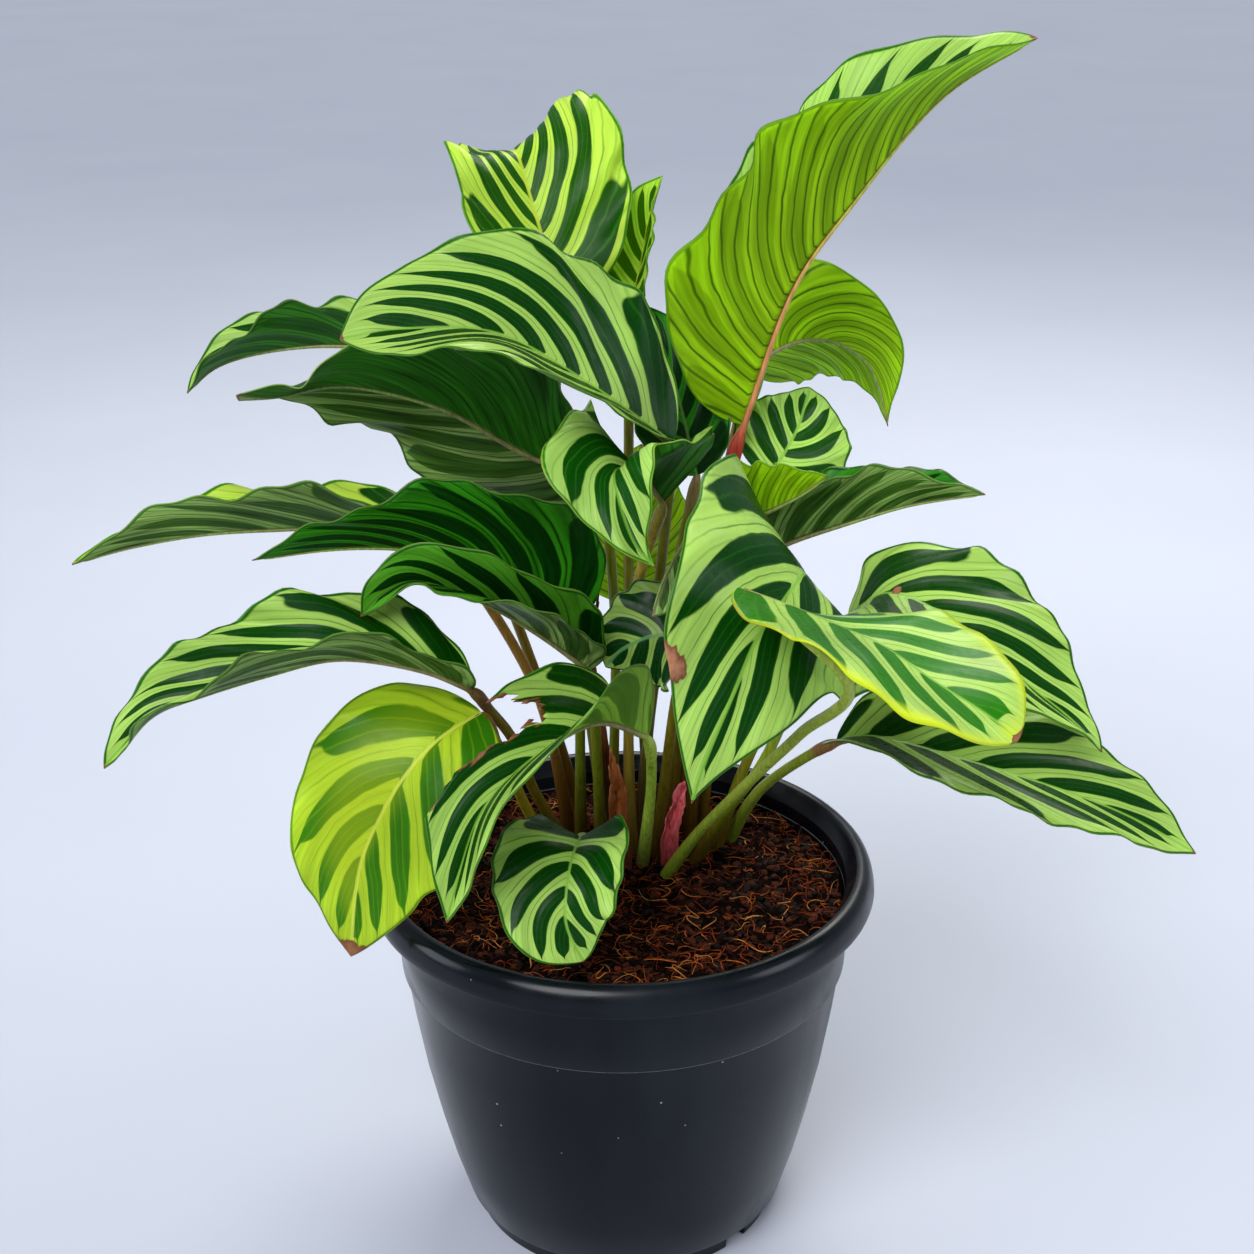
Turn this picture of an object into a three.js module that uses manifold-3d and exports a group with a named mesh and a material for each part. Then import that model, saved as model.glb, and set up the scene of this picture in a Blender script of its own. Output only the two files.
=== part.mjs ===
// A prayer plant in a nursery pot: pot, soil, leaves on their petioles, and sheaths.
// Millimetres, +Z up, origin at the centre of the pot's underside.
import * as THREE from "three";
import { mergeVertices } from "three/addons/utils/BufferGeometryUtils.js";
import Module from "manifold-3d";

const rimRadius = 105;
const potHeight = 163;
const wall = 2;
const floorHeight = 8;
const potSegments = 36;
const footNotches = 6;
const notchWidth = 12;
const notchHeight = 5;
const padRadius = 12;

const soilLevel = 148;
const soilGap = 0.35;
const soilLump = 1.2;

const bladeThickness = 0.9;
const midribDepth = 1.2;
const petioleRadius = 2.3;
const petioleSides = 6;
const petioleDepth = 16;
const holeClearance = 0.45;
const rowPitch = 14;
const rowSweep = 1.4;

const wasm = await Module();
wasm.setup();

// A closed geometry as a solid that can be joined and cut.
function solid(geometry) {
  let bare = geometry.clone();
  bare.deleteAttribute("normal");
  bare.deleteAttribute("uv");
  bare = mergeVertices(bare, 1e-3);
  const ids = bare.index.array;
  const kept = [];
  for (let i = 0; i < ids.length; i += 3) {
    const [a, b, c] = [ids[i], ids[i + 1], ids[i + 2]];
    if (a !== b && b !== c && a !== c) kept.push(a, b, c);
  }
  const build = (order) =>
    new wasm.Manifold(
      new wasm.Mesh({
        numProp: 3,
        vertProperties: bare.attributes.position.array,
        triVerts: new Uint32Array(order),
      }),
    );
  const made = build(kept);
  if (made.volume() > 0) return made;
  return build(kept.toReversed());
}

// A solid back as a geometry with flat shading normals.
function geometryOf(made) {
  const mesh = made.getMesh();
  const geometry = new THREE.BufferGeometry();
  geometry.setAttribute(
    "position",
    new THREE.BufferAttribute(new Float32Array(mesh.vertProperties), 3),
  );
  geometry.setIndex(new THREE.BufferAttribute(new Uint32Array(mesh.triVerts), 1));
  geometry.computeVertexNormals();
  return geometry;
}

// A round bar of few sides along a smooth curve through the points.
function bar(points, radius, steps) {
  const outline = [];
  for (let i = 0; i < petioleSides; i += 1) {
    const turn = (2 * Math.PI * i) / petioleSides;
    outline.push(new THREE.Vector2(radius * Math.cos(turn), radius * Math.sin(turn)));
  }
  const path = curveThrough(points);
  const settings = { steps, bevelEnabled: false, extrudePath: path };
  return solid(new THREE.ExtrudeGeometry(new THREE.Shape(outline), settings));
}

function curveThrough(points) {
  const list = points.map((p) => new THREE.Vector3(...p));
  const curve = new THREE.CatmullRomCurve3(list, false, "catmullrom", 0.5);
  curve.arcLengthDivisions = 240;
  return curve;
}

// A midrib that can be followed a little behind its first point.
class Rib {
  constructor(points) {
    this.curve = curveThrough(points);
    this.length = this.curve.getLength();
    const first = this.curve.getPoint(0);
    this.lead = this.curve.getPoint(1 / 240).sub(first).normalize();
  }
  point(t) {
    const at = this.curve.getPointAt(Math.min(Math.max(t, 0), 1));
    if (t < 0) at.addScaledVector(this.lead, t * this.length);
    return at;
  }
  tangent(t) {
    const step = 0.012;
    const c = Math.min(Math.max(t, step), 1 - step);
    return this.point(c + step).sub(this.point(c - step)).normalize();
  }
}

// Values spaced evenly along a leaf, eased from one to the next.
function along(values, t) {
  const last = values.length - 1;
  if (last === 0) return values[0];
  const x = Math.min(Math.max(t, 0), 1) * last;
  const i = Math.min(Math.floor(x), last - 1);
  let f = x - i;
  if (last > 1) f = f * f * (3 - 2 * f);
  if (Array.isArray(values[i]))
    return values[i].map((value, k) => value * (1 - f) + values[i + 1][k] * f);
  return values[i] * (1 - f) + values[i + 1] * f;
}

const plainLeaf = {
  shape: [0.58, 0.92],
  lobe: [3, 3],
  curl: [0, 0],
  wave: [2.5, 3.5, 0],
  heart: [5.2, 3.5],
  crowd: 1,
  halves: [1, 1],
};

// The point of a blade on row a (0 base, 1 tip), v across it (-1 left edge, 1 right edge).
function bladePoint(leaf, rib, a, v) {
  const side = Math.abs(v);
  const half = v < 0 ? 0 : 1;
  const m = 1 - Math.pow(1 - a, rowSweep);
  const [p, q] = leaf.shape;
  const peak = Math.pow(p / (p + q), p) * Math.pow(q / (p + q), q);
  const reach = (leaf.width / 2) * leaf.halves[half];
  const w = (reach * Math.pow(m, p) * Math.pow(1 - m, q)) / peak;
  const [rise, fade] = leaf.heart;
  const back = Math.pow(side, 1.5) * Math.pow(1 - m, fade) * Math.min(1, rise * m);
  const lag = (m - a) * (0.55 * side + 0.45 * side * side);
  const t = a + lag - (leaf.lobe[half] / rib.length) * back;
  const forward = rib.tangent(t);
  const across = forward.clone().cross(new THREE.Vector3(...along(leaf.face, t))).normalize();
  const up = across.clone().cross(forward);
  const fold = THREE.MathUtils.degToRad(along(leaf.fold[half], t));
  let curl = THREE.MathUtils.degToRad(leaf.curl[half]);
  if (Math.abs(curl) < 1e-3) curl = 1e-3;
  const end = fold + curl * side;
  const out = (w * (Math.sin(end) - Math.sin(fold))) / curl;
  let lift = (w * (Math.cos(fold) - Math.cos(end))) / curl;
  const [depth, count, phase] = leaf.wave;
  const swell = depth * Math.pow(Math.sin(Math.PI * Math.min(m, 1)), 0.6) * Math.pow(side, 2.2);
  lift += swell * Math.sin(2 * Math.PI * (count * m + phase + (v < 0 ? 0 : 0.37)));
  return rib
    .point(t)
    .addScaledVector(across, Math.sign(v) * out)
    .addScaledVector(up, lift);
}

// A blade with thickness, triangulated alike on both faces, with a raised midrib below.
function bladeSolid(leaf, rows, columns, thickness, ridge) {
  const rib = new Rib(leaf.rib);
  const middle = [];
  for (let i = 0; i <= rows; i += 1) {
    const row = [];
    for (let j = 0; j <= columns; j += 1)
      row.push(bladePoint(leaf, rib, Math.pow(i / rows, leaf.crowd), -1 + (2 * j) / columns));
    middle.push(row);
  }
  const points = [middle[0][columns / 2], middle[rows][columns / 2]];
  const top = [];
  const bottom = [];
  for (let i = 0; i <= rows; i += 1) {
    top.push([]);
    bottom.push([]);
    for (let j = 0; j <= columns; j += 1) {
      if (i === 0 || i === rows) {
        top[i].push(i === 0 ? 0 : 1);
        bottom[i].push(i === 0 ? 0 : 1);
        continue;
      }
      const here = middle[i][j];
      const length = middle[i + 1][j].clone().sub(middle[i - 1][j]);
      const normals = [];
      if (j > 0) normals.push(here.clone().sub(middle[i][j - 1]).cross(length).normalize());
      if (j < columns)
        normals.push(middle[i][j + 1].clone().sub(here).cross(length).normalize());
      const normal = normals[0].clone();
      if (normals.length > 1) normal.add(normals[1]).normalize();
      const mitre = 1 / Math.max(normal.dot(normals[0]), 0.5);
      const onRib = j === columns / 2 ? ridge * (1 - i / rows) : 0;
      top[i].push(points.length);
      points.push(here.clone().addScaledVector(normal, (thickness / 2) * mitre));
      bottom[i].push(points.length);
      points.push(here.clone().addScaledVector(normal, (-thickness / 2) * mitre - onRib));
    }
  }
  const faces = [];
  for (let i = 0; i < rows; i += 1) {
    for (let j = 0; j < columns; j += 1) {
      faces.push([top[i][j], top[i][j + 1], top[i + 1][j + 1]]);
      faces.push([top[i][j], top[i + 1][j + 1], top[i + 1][j]]);
      faces.push([bottom[i][j], bottom[i + 1][j + 1], bottom[i][j + 1]]);
      faces.push([bottom[i][j], bottom[i + 1][j], bottom[i + 1][j + 1]]);
    }
    const c = columns;
    faces.push([top[i][0], top[i + 1][0], bottom[i + 1][0]]);
    faces.push([top[i][0], bottom[i + 1][0], bottom[i][0]]);
    faces.push([top[i + 1][c], top[i][c], bottom[i][c]]);
    faces.push([top[i + 1][c], bottom[i][c], bottom[i + 1][c]]);
  }
  const geometry = new THREE.BufferGeometry();
  geometry.setAttribute(
    "position",
    new THREE.Float32BufferAttribute(points.flatMap((p) => [p.x, p.y, p.z]), 3),
  );
  geometry.setIndex(faces.flat());
  return solid(geometry);
}

// The petiole's way from the soil to the blade, ending a little inside the blade's base.
function petiolePoints(leaf, depth) {
  const [x, y] = leaf.root;
  const foot = new THREE.Vector3(x, y, soilLevel - 4);
  const base = new THREE.Vector3(...leaf.rib[0]);
  let via = (leaf.via ?? []).map((p) => new THREE.Vector3(...p));
  if (via.length === 0) {
    const rise = base.clone().sub(foot);
    const mid = foot.clone().addScaledVector(rise, 0.5);
    mid.x -= rise.x * 0.15;
    mid.y -= rise.y * 0.15;
    via = [mid];
  }
  const lean = via[0].clone().sub(foot).normalize();
  const buried = foot.clone().addScaledVector(lean, 4 - depth);
  const rib = new Rib(leaf.rib);
  const arrival = base.clone().sub(via.at(-1)).normalize();
  let inside = rib.point(0.05);
  if (arrival.dot(rib.lead) < 0) inside = base.clone().addScaledVector(arrival, 1);
  return [buried, foot, ...via, base, inside].map((p) => p.toArray());
}

// Soil surface: a few shallow lumps, a little higher at the plant's foot.
function soilHeight(x, y) {
  const lumps =
    Math.sin(0.11 * x + 0.07 * y + 1) * Math.cos(0.09 * y - 0.04 * x) +
    0.6 * Math.sin(0.23 * x - 0.17 * y + 2) +
    0.4 * Math.cos(0.31 * y + 0.12 * x);
  const foot = 1.5 * Math.exp(-((x - 8) ** 2 + (y - 34) ** 2) / 900);
  return soilLevel + soilLump * lumps + foot;
}

// Outside of the pot from the foot up, then the rim.
const potOutside = [
  [65, 0],
  [66, 8.5],
  [69.6, 9.5],
  [75.8, 30.4],
  [80.3, 49],
  [85.5, 74],
  [89.5, 99],
  [92.2, 119],
  [93.6, 120.2],
  [95.4, 149.6],
  [rimRadius, 150.6],
  [103.8, 160],
  [101.5, potHeight - 0.2],
  [98.6, potHeight],
  [96.6, 161],
];

// Inside wall from the rim down to the floor.
const potInside = [
  [95.4 - wall, 156],
  [92.2 - wall, 118],
  [85.5 - wall, 74],
  [75.8 - wall, 30.4],
  [70.4 - wall, floorHeight + 2.5],
];

function lathe(profile) {
  const points = profile.map(([r, z]) => new THREE.Vector2(r, z));
  const geometry = new THREE.LatheGeometry(points, potSegments);
  geometry.rotateX(Math.PI / 2);
  return geometry;
}

function makePot() {
  const under = [
    [0, 0],
    [padRadius, 0],
    [padRadius + 1, floorHeight - 2],
    [61, floorHeight - 2],
    [62, 0],
  ];
  const floor = [[0, floorHeight + 0.5]];
  let pot = solid(lathe([...under, ...potOutside, ...potInside, ...floor]));
  for (let i = 0; i < footNotches; i += 1) {
    const notch = new THREE.BoxGeometry(14, notchWidth, notchHeight * 2);
    notch.translate(64, 0, 0);
    notch.rotateZ(THREE.MathUtils.degToRad(-104 + (360 / footNotches) * i));
    pot = pot.subtract(solid(notch));
  }
  return pot;
}

function makeSoil(standing) {
  const side = potInside.slice(1).reverse().map(([r, z]) => [r - soilGap, z]);
  side[0] = [side[0][0], floorHeight + 2.5 + soilGap];
  const edge = 95.4 - wall - 0.5 - soilGap;
  const rings = [edge, 80, 64, 48, 32, 16].map((r) => [r, soilLevel]);
  const profile = [[0, floorHeight + 0.5 + soilGap], ...side, ...rings, [0, soilLevel]];
  const geometry = lathe(profile);
  const position = geometry.attributes.position;
  for (let i = 0; i < position.count; i += 1) {
    if (position.getZ(i) < soilLevel - 1) continue;
    position.setZ(i, soilHeight(position.getX(i), position.getY(i)));
  }
  let soil = solid(geometry);
  for (const cutter of standing) soil = soil.subtract(cutter);
  return soil;
}

// Each leaf: midrib points, width, upward direction along it, fold and curl of its two
// halves, edge wave (depth, count, phase), heart-shaped base (lobe, how it starts and fades,
// how far rows crowd there), share of the width in each half, root in the soil, and points
// its petiole passes.
const leaves = [
  {
    name: "leaf_tall",
    rib: [[50, 45, 336], [68, 38, 392], [90, 32, 427], [121, 26, 467], [155, 22, 489]],
    width: 100,
    face: [[-0.75, 0.55, 0.35], [-0.8, 0.2, 0.55], [-0.5, -0.1, 0.85]],
    fold: [[12, 60, 28], [45, 62, 28]],
    curl: [8, -8],
    wave: [4, 3, 0.1],
    shape: [0.52, 0.78],
    root: [18, 45],
    color: "#5f9c22",
  },
  {
    name: "leaf_back_top",
    rib: [[-25, 60, 382], [-29, 70, 403], [-35, 80, 423], [-41, 95, 438], [-47, 130, 428], [-50, 158, 408]],
    width: 80,
    face: [[0, -1, 0.2], [0, -0.9, 0.5], [0, -0.1, 1]],
    fold: [[0, 20, 30], [0, 10, 22]],
    curl: [5, 10],
    wave: [4, 4, 0.2],
    root: [-7, 56],
    via: [[-24, 58, 295]],
    halves: [0.72, 1.06],
    color: "#5fae35",
  },
  {
    name: "leaf_arch",
    rib: [[21, 4, 341], [-10, -10, 368], [-44, -18, 390], [-79, -22, 393], [-101, -24, 390]],
    width: 84,
    face: [[0.2, -0.8, 0.6], [0, -0.75, 0.68], [-0.2, -0.75, 0.6]],
    fold: [[60, 52, 30], [5, 15]],
    curl: [10, 0],
    wave: [4, 3, 0],
    shape: [0.6, 0.78],
    root: [9, 36],
    color: "#4e9a33",
  },
  {
    name: "leaf_left_upper",
    rib: [[-8, 30, 318], [-37, 28, 330], [-70, 22, 351], [-106, 12, 363], [-129, 0, 362], [-142, -16, 367]],
    width: 80,
    face: [[0, 0.75, 0.66], [0, 0.75, 0.66], [0, 0.6, 0.8], [-0.3, 0, 1]],
    fold: [[10, 10], [-5, 0]],
    curl: [8, 0],
    wave: [4, 3, 0.3],
    root: [-5, 41],
    via: [[-2, 34, 252]],
    color: "#2f5f24",
  },
  {
    name: "leaf_left_far",
    rib: [[-86, 70, 362], [-120, 80, 362], [-149, 84, 358], [-169, 82, 352], [-181, 78, 342]],
    width: 50,
    face: [[0, -0.1, 1], [-0.2, -0.3, 1], [-0.5, -0.7, 0.6]],
    fold: [[70, 70, 60], [20, 10]],
    wave: [3, 2.5, 0.1],
    root: [-16, 52],
    via: [[-35, 47, 222]],
    color: "#3f7d2c",
  },
  {
    name: "leaf_left_long",
    rib: [[-78, 38, 298], [-106, 36, 298], [-133, 32, 298], [-167, 26, 298], [-197, 18, 295], [-218, 10, 291]],
    width: 56,
    face: [[0, -0.1, 1], [0, -0.1, 1], [-0.2, -0.1, 1]],
    fold: [[42, 62, 65], [15, 15]],
    wave: [3, 2.5, 0.4],
    root: [-22, 42],
    via: [[-37, 38, 225]],
    color: "#3a7a2b",
  },
  {
    name: "leaf_left_middle",
    rib: [[-16, 8, 265], [-36, 2, 285], [-58, -4, 297], [-85, -10, 304], [-111, -16, 306], [-140, -22, 304]],
    width: 76,
    face: [[0, 0, 1], [0, 0, 1], [-0.1, -0.1, 1]],
    fold: [[75, 68, 60], [-10, 0]],
    wave: [3, 3, 0.6],
    shape: [0.58, 1.1],
    root: [-18, 31],
    color: "#2c6a20",
  },
  {
    name: "leaf_left_under",
    rib: [[-12, -2, 249], [-32, -10, 268], [-54, -20, 286], [-76, -28, 297], [-88, -34, 295], [-98, -36, 286]],
    width: 60,
    face: [[0, -0.3, 0.9], [0, -0.5, 0.85], [-0.5, -0.6, 0.5]],
    fold: [[62, 56, 30], [100, 95, 60]],
    wave: [2.5, 2.5, 0.2],
    root: [-9, 27],
    color: "#4d8a38",
  },
  {
    name: "leaf_left_low",
    rib: [[-57, -36, 256], [-76, -42, 267], [-105, -50, 275], [-131, -56, 271], [-156, -62, 265], [-174, -64, 258], [-193, -66, 238]],
    width: 58,
    face: [[0, -0.5, 0.85], [0, -0.6, 0.8], [-0.3, -0.7, 0.6]],
    fold: [[68, 75, 50], [8, 10]],
    curl: [0, 5],
    wave: [4.5, 4, 0],
    root: [-16, 20],
    via: [[-35, 2, 190], [-43, -14, 223], [-52, -26, 243]],
    color: "#4c9433",
  },
  {
    name: "leaf_yellow",
    rib: [[-54, -34, 245], [-70, -46, 239], [-85, -54, 224], [-98, -58, 200], [-103, -60, 182], [-107, -58, 151]],
    width: 76,
    face: [[-0.2, -0.6, 0.8], [-0.2, -0.9, 0.45], [-0.3, -0.9, 0.2]],
    fold: [[10, 5], [10, 5]],
    curl: [-10, -15],
    wave: [1.5, 2.5, 0.2],
    lobe: [6, 6],
    root: [-25, 12],
    via: [[-40, -8, 192], [-48, -24, 224]],
    color: "#b9d62c",
  },
  {
    name: "leaf_front_left",
    rib: [[11, -20, 228], [-9, -44, 245], [-32, -70, 243], [-52, -86, 227], [-65, -96, 188]],
    width: 68,
    face: [[0, -0.4, 0.9], [-0.2, -0.7, 0.7], [-0.4, -0.85, 0.3]],
    fold: [[108, 62, 40], [20, 28, 50]],
    curl: [0, -10],
    wave: [2, 2.5, 0.3],
    root: [8, 17],
    via: [[12, -4, 196]],
    shape: [0.72, 1],
    halves: [1, 0.85],
    color: "#57a53a",
  },
  {
    name: "leaf_small_front",
    rib: [[-16, -54, 201], [-19, -70, 200], [-21, -81, 192], [-21, -87, 181], [-15, -91, 168]],
    width: 56,
    face: [[0, -0.7, 0.75], [0, -0.75, 0.7], [0.1, -0.9, 0.4]],
    fold: [[40, 36], [12, 8]],
    curl: [-10, -10],
    lobe: [16, 15],
    wave: [1, 2.5, 0.2],
    shape: [0.45, 0.7],
    root: [-10, 9],
    heart: [14, 5],
    crowd: 1.5,
    halves: [0.88, 1.05],
    color: "#5cab3e",
  },
  {
    name: "leaf_centre",
    rib: [[17, -10, 322], [8, -24, 338], [-1, -40, 344], [0, -52, 337], [5, -60, 324], [13, -64, 315]],
    width: 68,
    face: [[-0.3, -0.2, 0.9], [-0.3, -0.7, 0.7], [0.1, -0.95, 0.3]],
    fold: [[46, 20], [42, 12]],
    wave: [3, 3, 0.2],
    root: [4, 27],
    via: [[4, 18, 257]],
    shape: [0.44, 1.3],
    lobe: [10, -12],
    heart: [10, 4.5],
    crowd: 1.3,
    halves: [0.93, 1],
    color: "#63b03f",
  },
  {
    name: "leaf_front_big",
    rib: [[79, -14, 278], [70, -44, 302], [66, -64, 312], [56, -88, 310], [47, -102, 303], [39, -110, 287], [29, -118, 265], [24, -122, 250]],
    width: 104,
    face: [[0.6, 0.3, 0.75], [0.7, -0.1, 0.7], [0.25, -0.75, 0.6], [0, -0.9, 0.4]],
    fold: [[5, -12], [5, 5]],
    wave: [3.5, 2.5, 0.2],
    shape: [0.52, 1.15],
    root: [30, 24],
    via: [[42, 10, 175], [60, -14, 219]],
    color: "#57a53a",
  },
  {
    name: "leaf_front_right",
    rib: [[40, -112, 326], [57, -119, 322], [71, -126, 318], [86, -136, 314], [101, -146, 306], [117, -155, 298], [127, -160, 291]],
    width: 84,
    face: [[0.1, -0.4, 0.9], [0.1, -0.4, 0.9], [0.2, -0.5, 0.8]],
    fold: [[-60, -22, 0], [30, 30, 20]],
    lobe: [4, 14],
    wave: [2, 2, 0.1],
    shape: [0.56, 0.66],
    root: [17, 12],
    via: [[32, -6, 177], [52, -34, 216], [67, -64, 249], [77, -120, 294]],
    halves: [1.08, 0.96],
    color: "#86c447",
  },
  {
    name: "leaf_right_upper",
    rib: [[92, 12, 266], [108, -4, 281], [134, -30, 275], [155, -46, 259], [170, -53, 248], [182, -56, 236]],
    width: 70,
    face: [[0, -0.5, 0.85], [0, -0.5, 0.85], [0.4, -0.6, 0.6]],
    fold: [[0, 5], [15, 45]],
    lobe: [14, 2],
    wave: [3, 3, 0.1],
    root: [39, 30],
    color: "#4d9a34",
  },
  {
    name: "leaf_right_low",
    rib: [[86, -14, 222], [101, -24, 228], [132, -36, 224], [170, -46, 215], [196, -52, 206], [222, -56, 192]],
    width: 74,
    face: [[0, -0.5, 0.85], [0, -0.55, 0.85], [0.3, -0.6, 0.7]],
    fold: [[2, -4], [48, 28]],
    lobe: [10, 10],
    wave: [2.5, 3.5, 0.2],
    root: [45, 40],
    color: "#3f8a2e",
  },
  {
    name: "leaf_right_middle",
    rib: [[53, 18, 287], [67, 18, 295], [89, 14, 304], [111, 8, 313], [127, 2, 318], [142, -2, 321]],
    width: 54,
    face: [[0, 0, 1], [0, 0, 1], [0.1, 0, 1]],
    fold: [[38, 30], [65, 60]],
    wave: [2, 2.5, 0.2],
    root: [34, 45],
    color: "#3f6f33",
  },
  {
    name: "leaf_back_right",
    rib: [[57, 112, 340], [68, 112, 349], [81, 112, 354], [95, 110, 353], [107, 106, 346], [113, 102, 335], [117, 98, 319]],
    width: 78,
    face: [[0.05, 1, 0.15], [0.1, 1, 0.1], [0.35, 0.9, 0.1]],
    fold: [[43, 43], [5, 40]],
    wave: [2, 2.5, 0.1],
    root: [24, 61],
    shape: [0.5, 1.4],
    halves: [1, 0.92],
    color: "#5a9a2a",
  },
  {
    name: "leaf_back_centre",
    rib: [[61, 46, 312], [69, 54, 322], [75, 62, 331], [80, 72, 344]],
    width: 52,
    face: [[0, -0.85, 0.5], [0, -0.9, 0.4]],
    fold: [[15, 20], [5, 15]],
    wave: [2.5, 3, 0.1],
    root: [27, 50],
    lobe: [3, 12],
    color: "#4c9a33",
  },
  {
    name: "leaf_right_inner",
    rib: [[43, 4, 307], [57, -2, 315], [70, -6, 323], [80, -8, 331]],
    width: 48,
    face: [[0, 0, 1], [0, 0, 1], [0.1, 0, 1]],
    fold: [[30, 20], [75, 70]],
    wave: [1, 2, 0.2],
    root: [29, 35],
    color: "#5f9c2c",
  },
  {
    name: "leaf_back_rolled",
    rib: [[5, 76, 376], [10, 80, 395], [13, 84, 410], [16, 86, 421], [19, 88, 429]],
    width: 44,
    face: [[-0.5, -0.8, 0.2], [-0.6, -0.7, 0.2], [-0.6, -0.6, 0.5]],
    fold: [[60, 65], [45, 45]],
    wave: [1.5, 2, 0.2],
    root: [3, 62],
    color: "#56902e",
  },
  {
    name: "leaf_inner_dark",
    rib: [[32, 44, 315], [26, 54, 340], [19, 64, 362], [12, 76, 378]],
    width: 42,
    face: [[-0.3, -0.8, 0.5], [-0.3, -0.8, 0.5]],
    fold: [[20, 20], [10, 10]],
    wave: [2, 2, 0.2],
    root: [7, 49],
    color: "#24591c",
  },
  {
    name: "leaf_inner_striped",
    rib: [[27, -13, 266], [14, -11, 267], [1, -8, 260], [-6, -5, 251]],
    width: 46,
    face: [[0, -0.6, 0.8], [-0.3, -0.7, 0.5]],
    fold: [[-35, -35], [10, 10]],
    wave: [1, 2, 0.2],
    root: [14, 25],
    via: [[21, 0, 226]],
    color: "#2f6e28",
  },
  {
    name: "leaf_inner_grey",
    rib: [[32, -8, 314], [25, -22, 309], [17, -30, 297], [12, -34, 284]],
    width: 44,
    face: [[0.85, -0.1, 0.5], [0.8, 0.4, 0.2]],
    fold: [[50, 50], [50, 50]],
    wave: [1, 2, 0.2],
    root: [21, 34],
    color: "#4d7048",
  },
  {
    name: "leaf_back_low",
    rib: [[3, 74, 247], [5, 80, 265], [7, 88, 287], [10, 98, 312]],
    width: 60,
    face: [[0, 0.9, 0.3], [0, 0.9, 0.3]],
    fold: [[10, 10], [10, 10]],
    wave: [1.5, 2, 0.1],
    root: [13, 58],
    color: "#4b7a22",
  },
];

// Dry sheaths and a pink bract at the foot of the petioles.
const sheaths = [
  {
    name: "sheath_red",
    rib: [[-1, 30, 136], [-5, 26, 180], [-12, 17, 245], [-8, 12, 276]],
    width: 8,
    face: [[0, -1, 0.2], [0, -1, 0.2]],
    fold: [[35, 35], [35, 35]],
    color: "#9c4a2c",
  },
  {
    name: "sheath_papery",
    rib: [[0, 14, 136], [-1, 12, 165], [-2, 9, 190], [-4, 7, 209]],
    width: 12,
    face: [[0, -1, 0.2], [0, -1, 0.2]],
    fold: [[30, 30], [30, 30]],
    color: "#8a5a2c",
  },
  {
    name: "bract_pink",
    rib: [[20, 20, 136], [20, 18, 160], [23, 16, 178], [26, 14, 191]],
    width: 10,
    face: [[0, -1, 0.2], [0, -1, 0.2]],
    fold: [[40, 40], [40, 40]],
    color: "#b8494f",
  },
];

const plant = new THREE.Group();
const leafGroup = new THREE.Group();
const potGroup = new THREE.Group();

function addPiece(group, name, made, color, roughness) {
  const material = new THREE.MeshStandardMaterial({ color, roughness, metalness: 0 });
  const mesh = new THREE.Mesh(geometryOf(made), material);
  mesh.name = name;
  group.add(mesh);
}

const cutters = [];
for (const entry of leaves) {
  const leaf = { ...plainLeaf, ...entry };
  const rib = new Rib(leaf.rib);
  const rows = Math.min(Math.max(Math.round(rib.length / rowPitch), 8), 13);
  const columns = leaf.width > 52 ? 6 : 4;
  const blade = bladeSolid(leaf, rows, columns, bladeThickness, midribDepth);
  const way = petiolePoints(leaf, petioleDepth);
  const steps = 6 + 2 * (way.length - 5);
  addPiece(leafGroup, leaf.name, blade.add(bar(way, petioleRadius, steps)), leaf.color, 0.45);
  const hole = petiolePoints(leaf, petioleDepth + 1);
  cutters.push(bar(hole, petioleRadius + holeClearance, steps));
}

for (const entry of sheaths) {
  const sheath = { ...plainLeaf, ...entry, shape: [0.35, 0.7], wave: [0, 1, 0] };
  const made = bladeSolid(sheath, 8, 4, bladeThickness, 0);
  addPiece(leafGroup, sheath.name, made, sheath.color, 0.75);
  const wide = { ...sheath, width: sheath.width + 2 };
  const low = sheath.rib[0].map((c, k) => (k === 2 ? c - 8 : c));
  wide.rib = [low, ...sheath.rib.slice(1)];
  cutters.push(bladeSolid(wide, 12, 4, bladeThickness + 1.4, 0));
  const [x, y] = low;
  cutters.push(bar([[x, y, soilLevel - 15], [x, y, soilLevel - 3]], 1.6, 1));
}

addPiece(potGroup, "pot", makePot(), "#1c1f24", 0.38);
addPiece(potGroup, "soil", makeSoil(cutters), "#33231a", 0.95);

plant.add(potGroup, leafGroup);

export default plant;
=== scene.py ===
import math
import bpy
import numpy as np
from mathutils import Matrix, Vector, noise


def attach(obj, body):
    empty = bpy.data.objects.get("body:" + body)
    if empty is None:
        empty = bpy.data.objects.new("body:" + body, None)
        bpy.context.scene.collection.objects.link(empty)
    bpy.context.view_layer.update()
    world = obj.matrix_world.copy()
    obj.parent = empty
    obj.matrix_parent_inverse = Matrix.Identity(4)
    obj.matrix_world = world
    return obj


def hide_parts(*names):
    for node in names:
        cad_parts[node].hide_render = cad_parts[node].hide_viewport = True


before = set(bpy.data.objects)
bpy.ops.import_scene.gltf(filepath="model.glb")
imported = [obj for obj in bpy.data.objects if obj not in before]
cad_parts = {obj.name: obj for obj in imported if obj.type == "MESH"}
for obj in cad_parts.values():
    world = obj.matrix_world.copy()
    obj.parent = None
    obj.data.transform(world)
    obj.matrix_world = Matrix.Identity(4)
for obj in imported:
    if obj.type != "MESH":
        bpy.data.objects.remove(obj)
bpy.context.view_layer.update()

mm = 0.001
fine = 1.0
chance = np.random.default_rng(7)
noise.seed_set(5)
smooth = {"interpolation_type": "SMOOTHSTEP"}
bpy.context.scene.view_settings.view_transform = "Standard"
bpy.ops.object.select_all(action="DESELECT")


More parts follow.
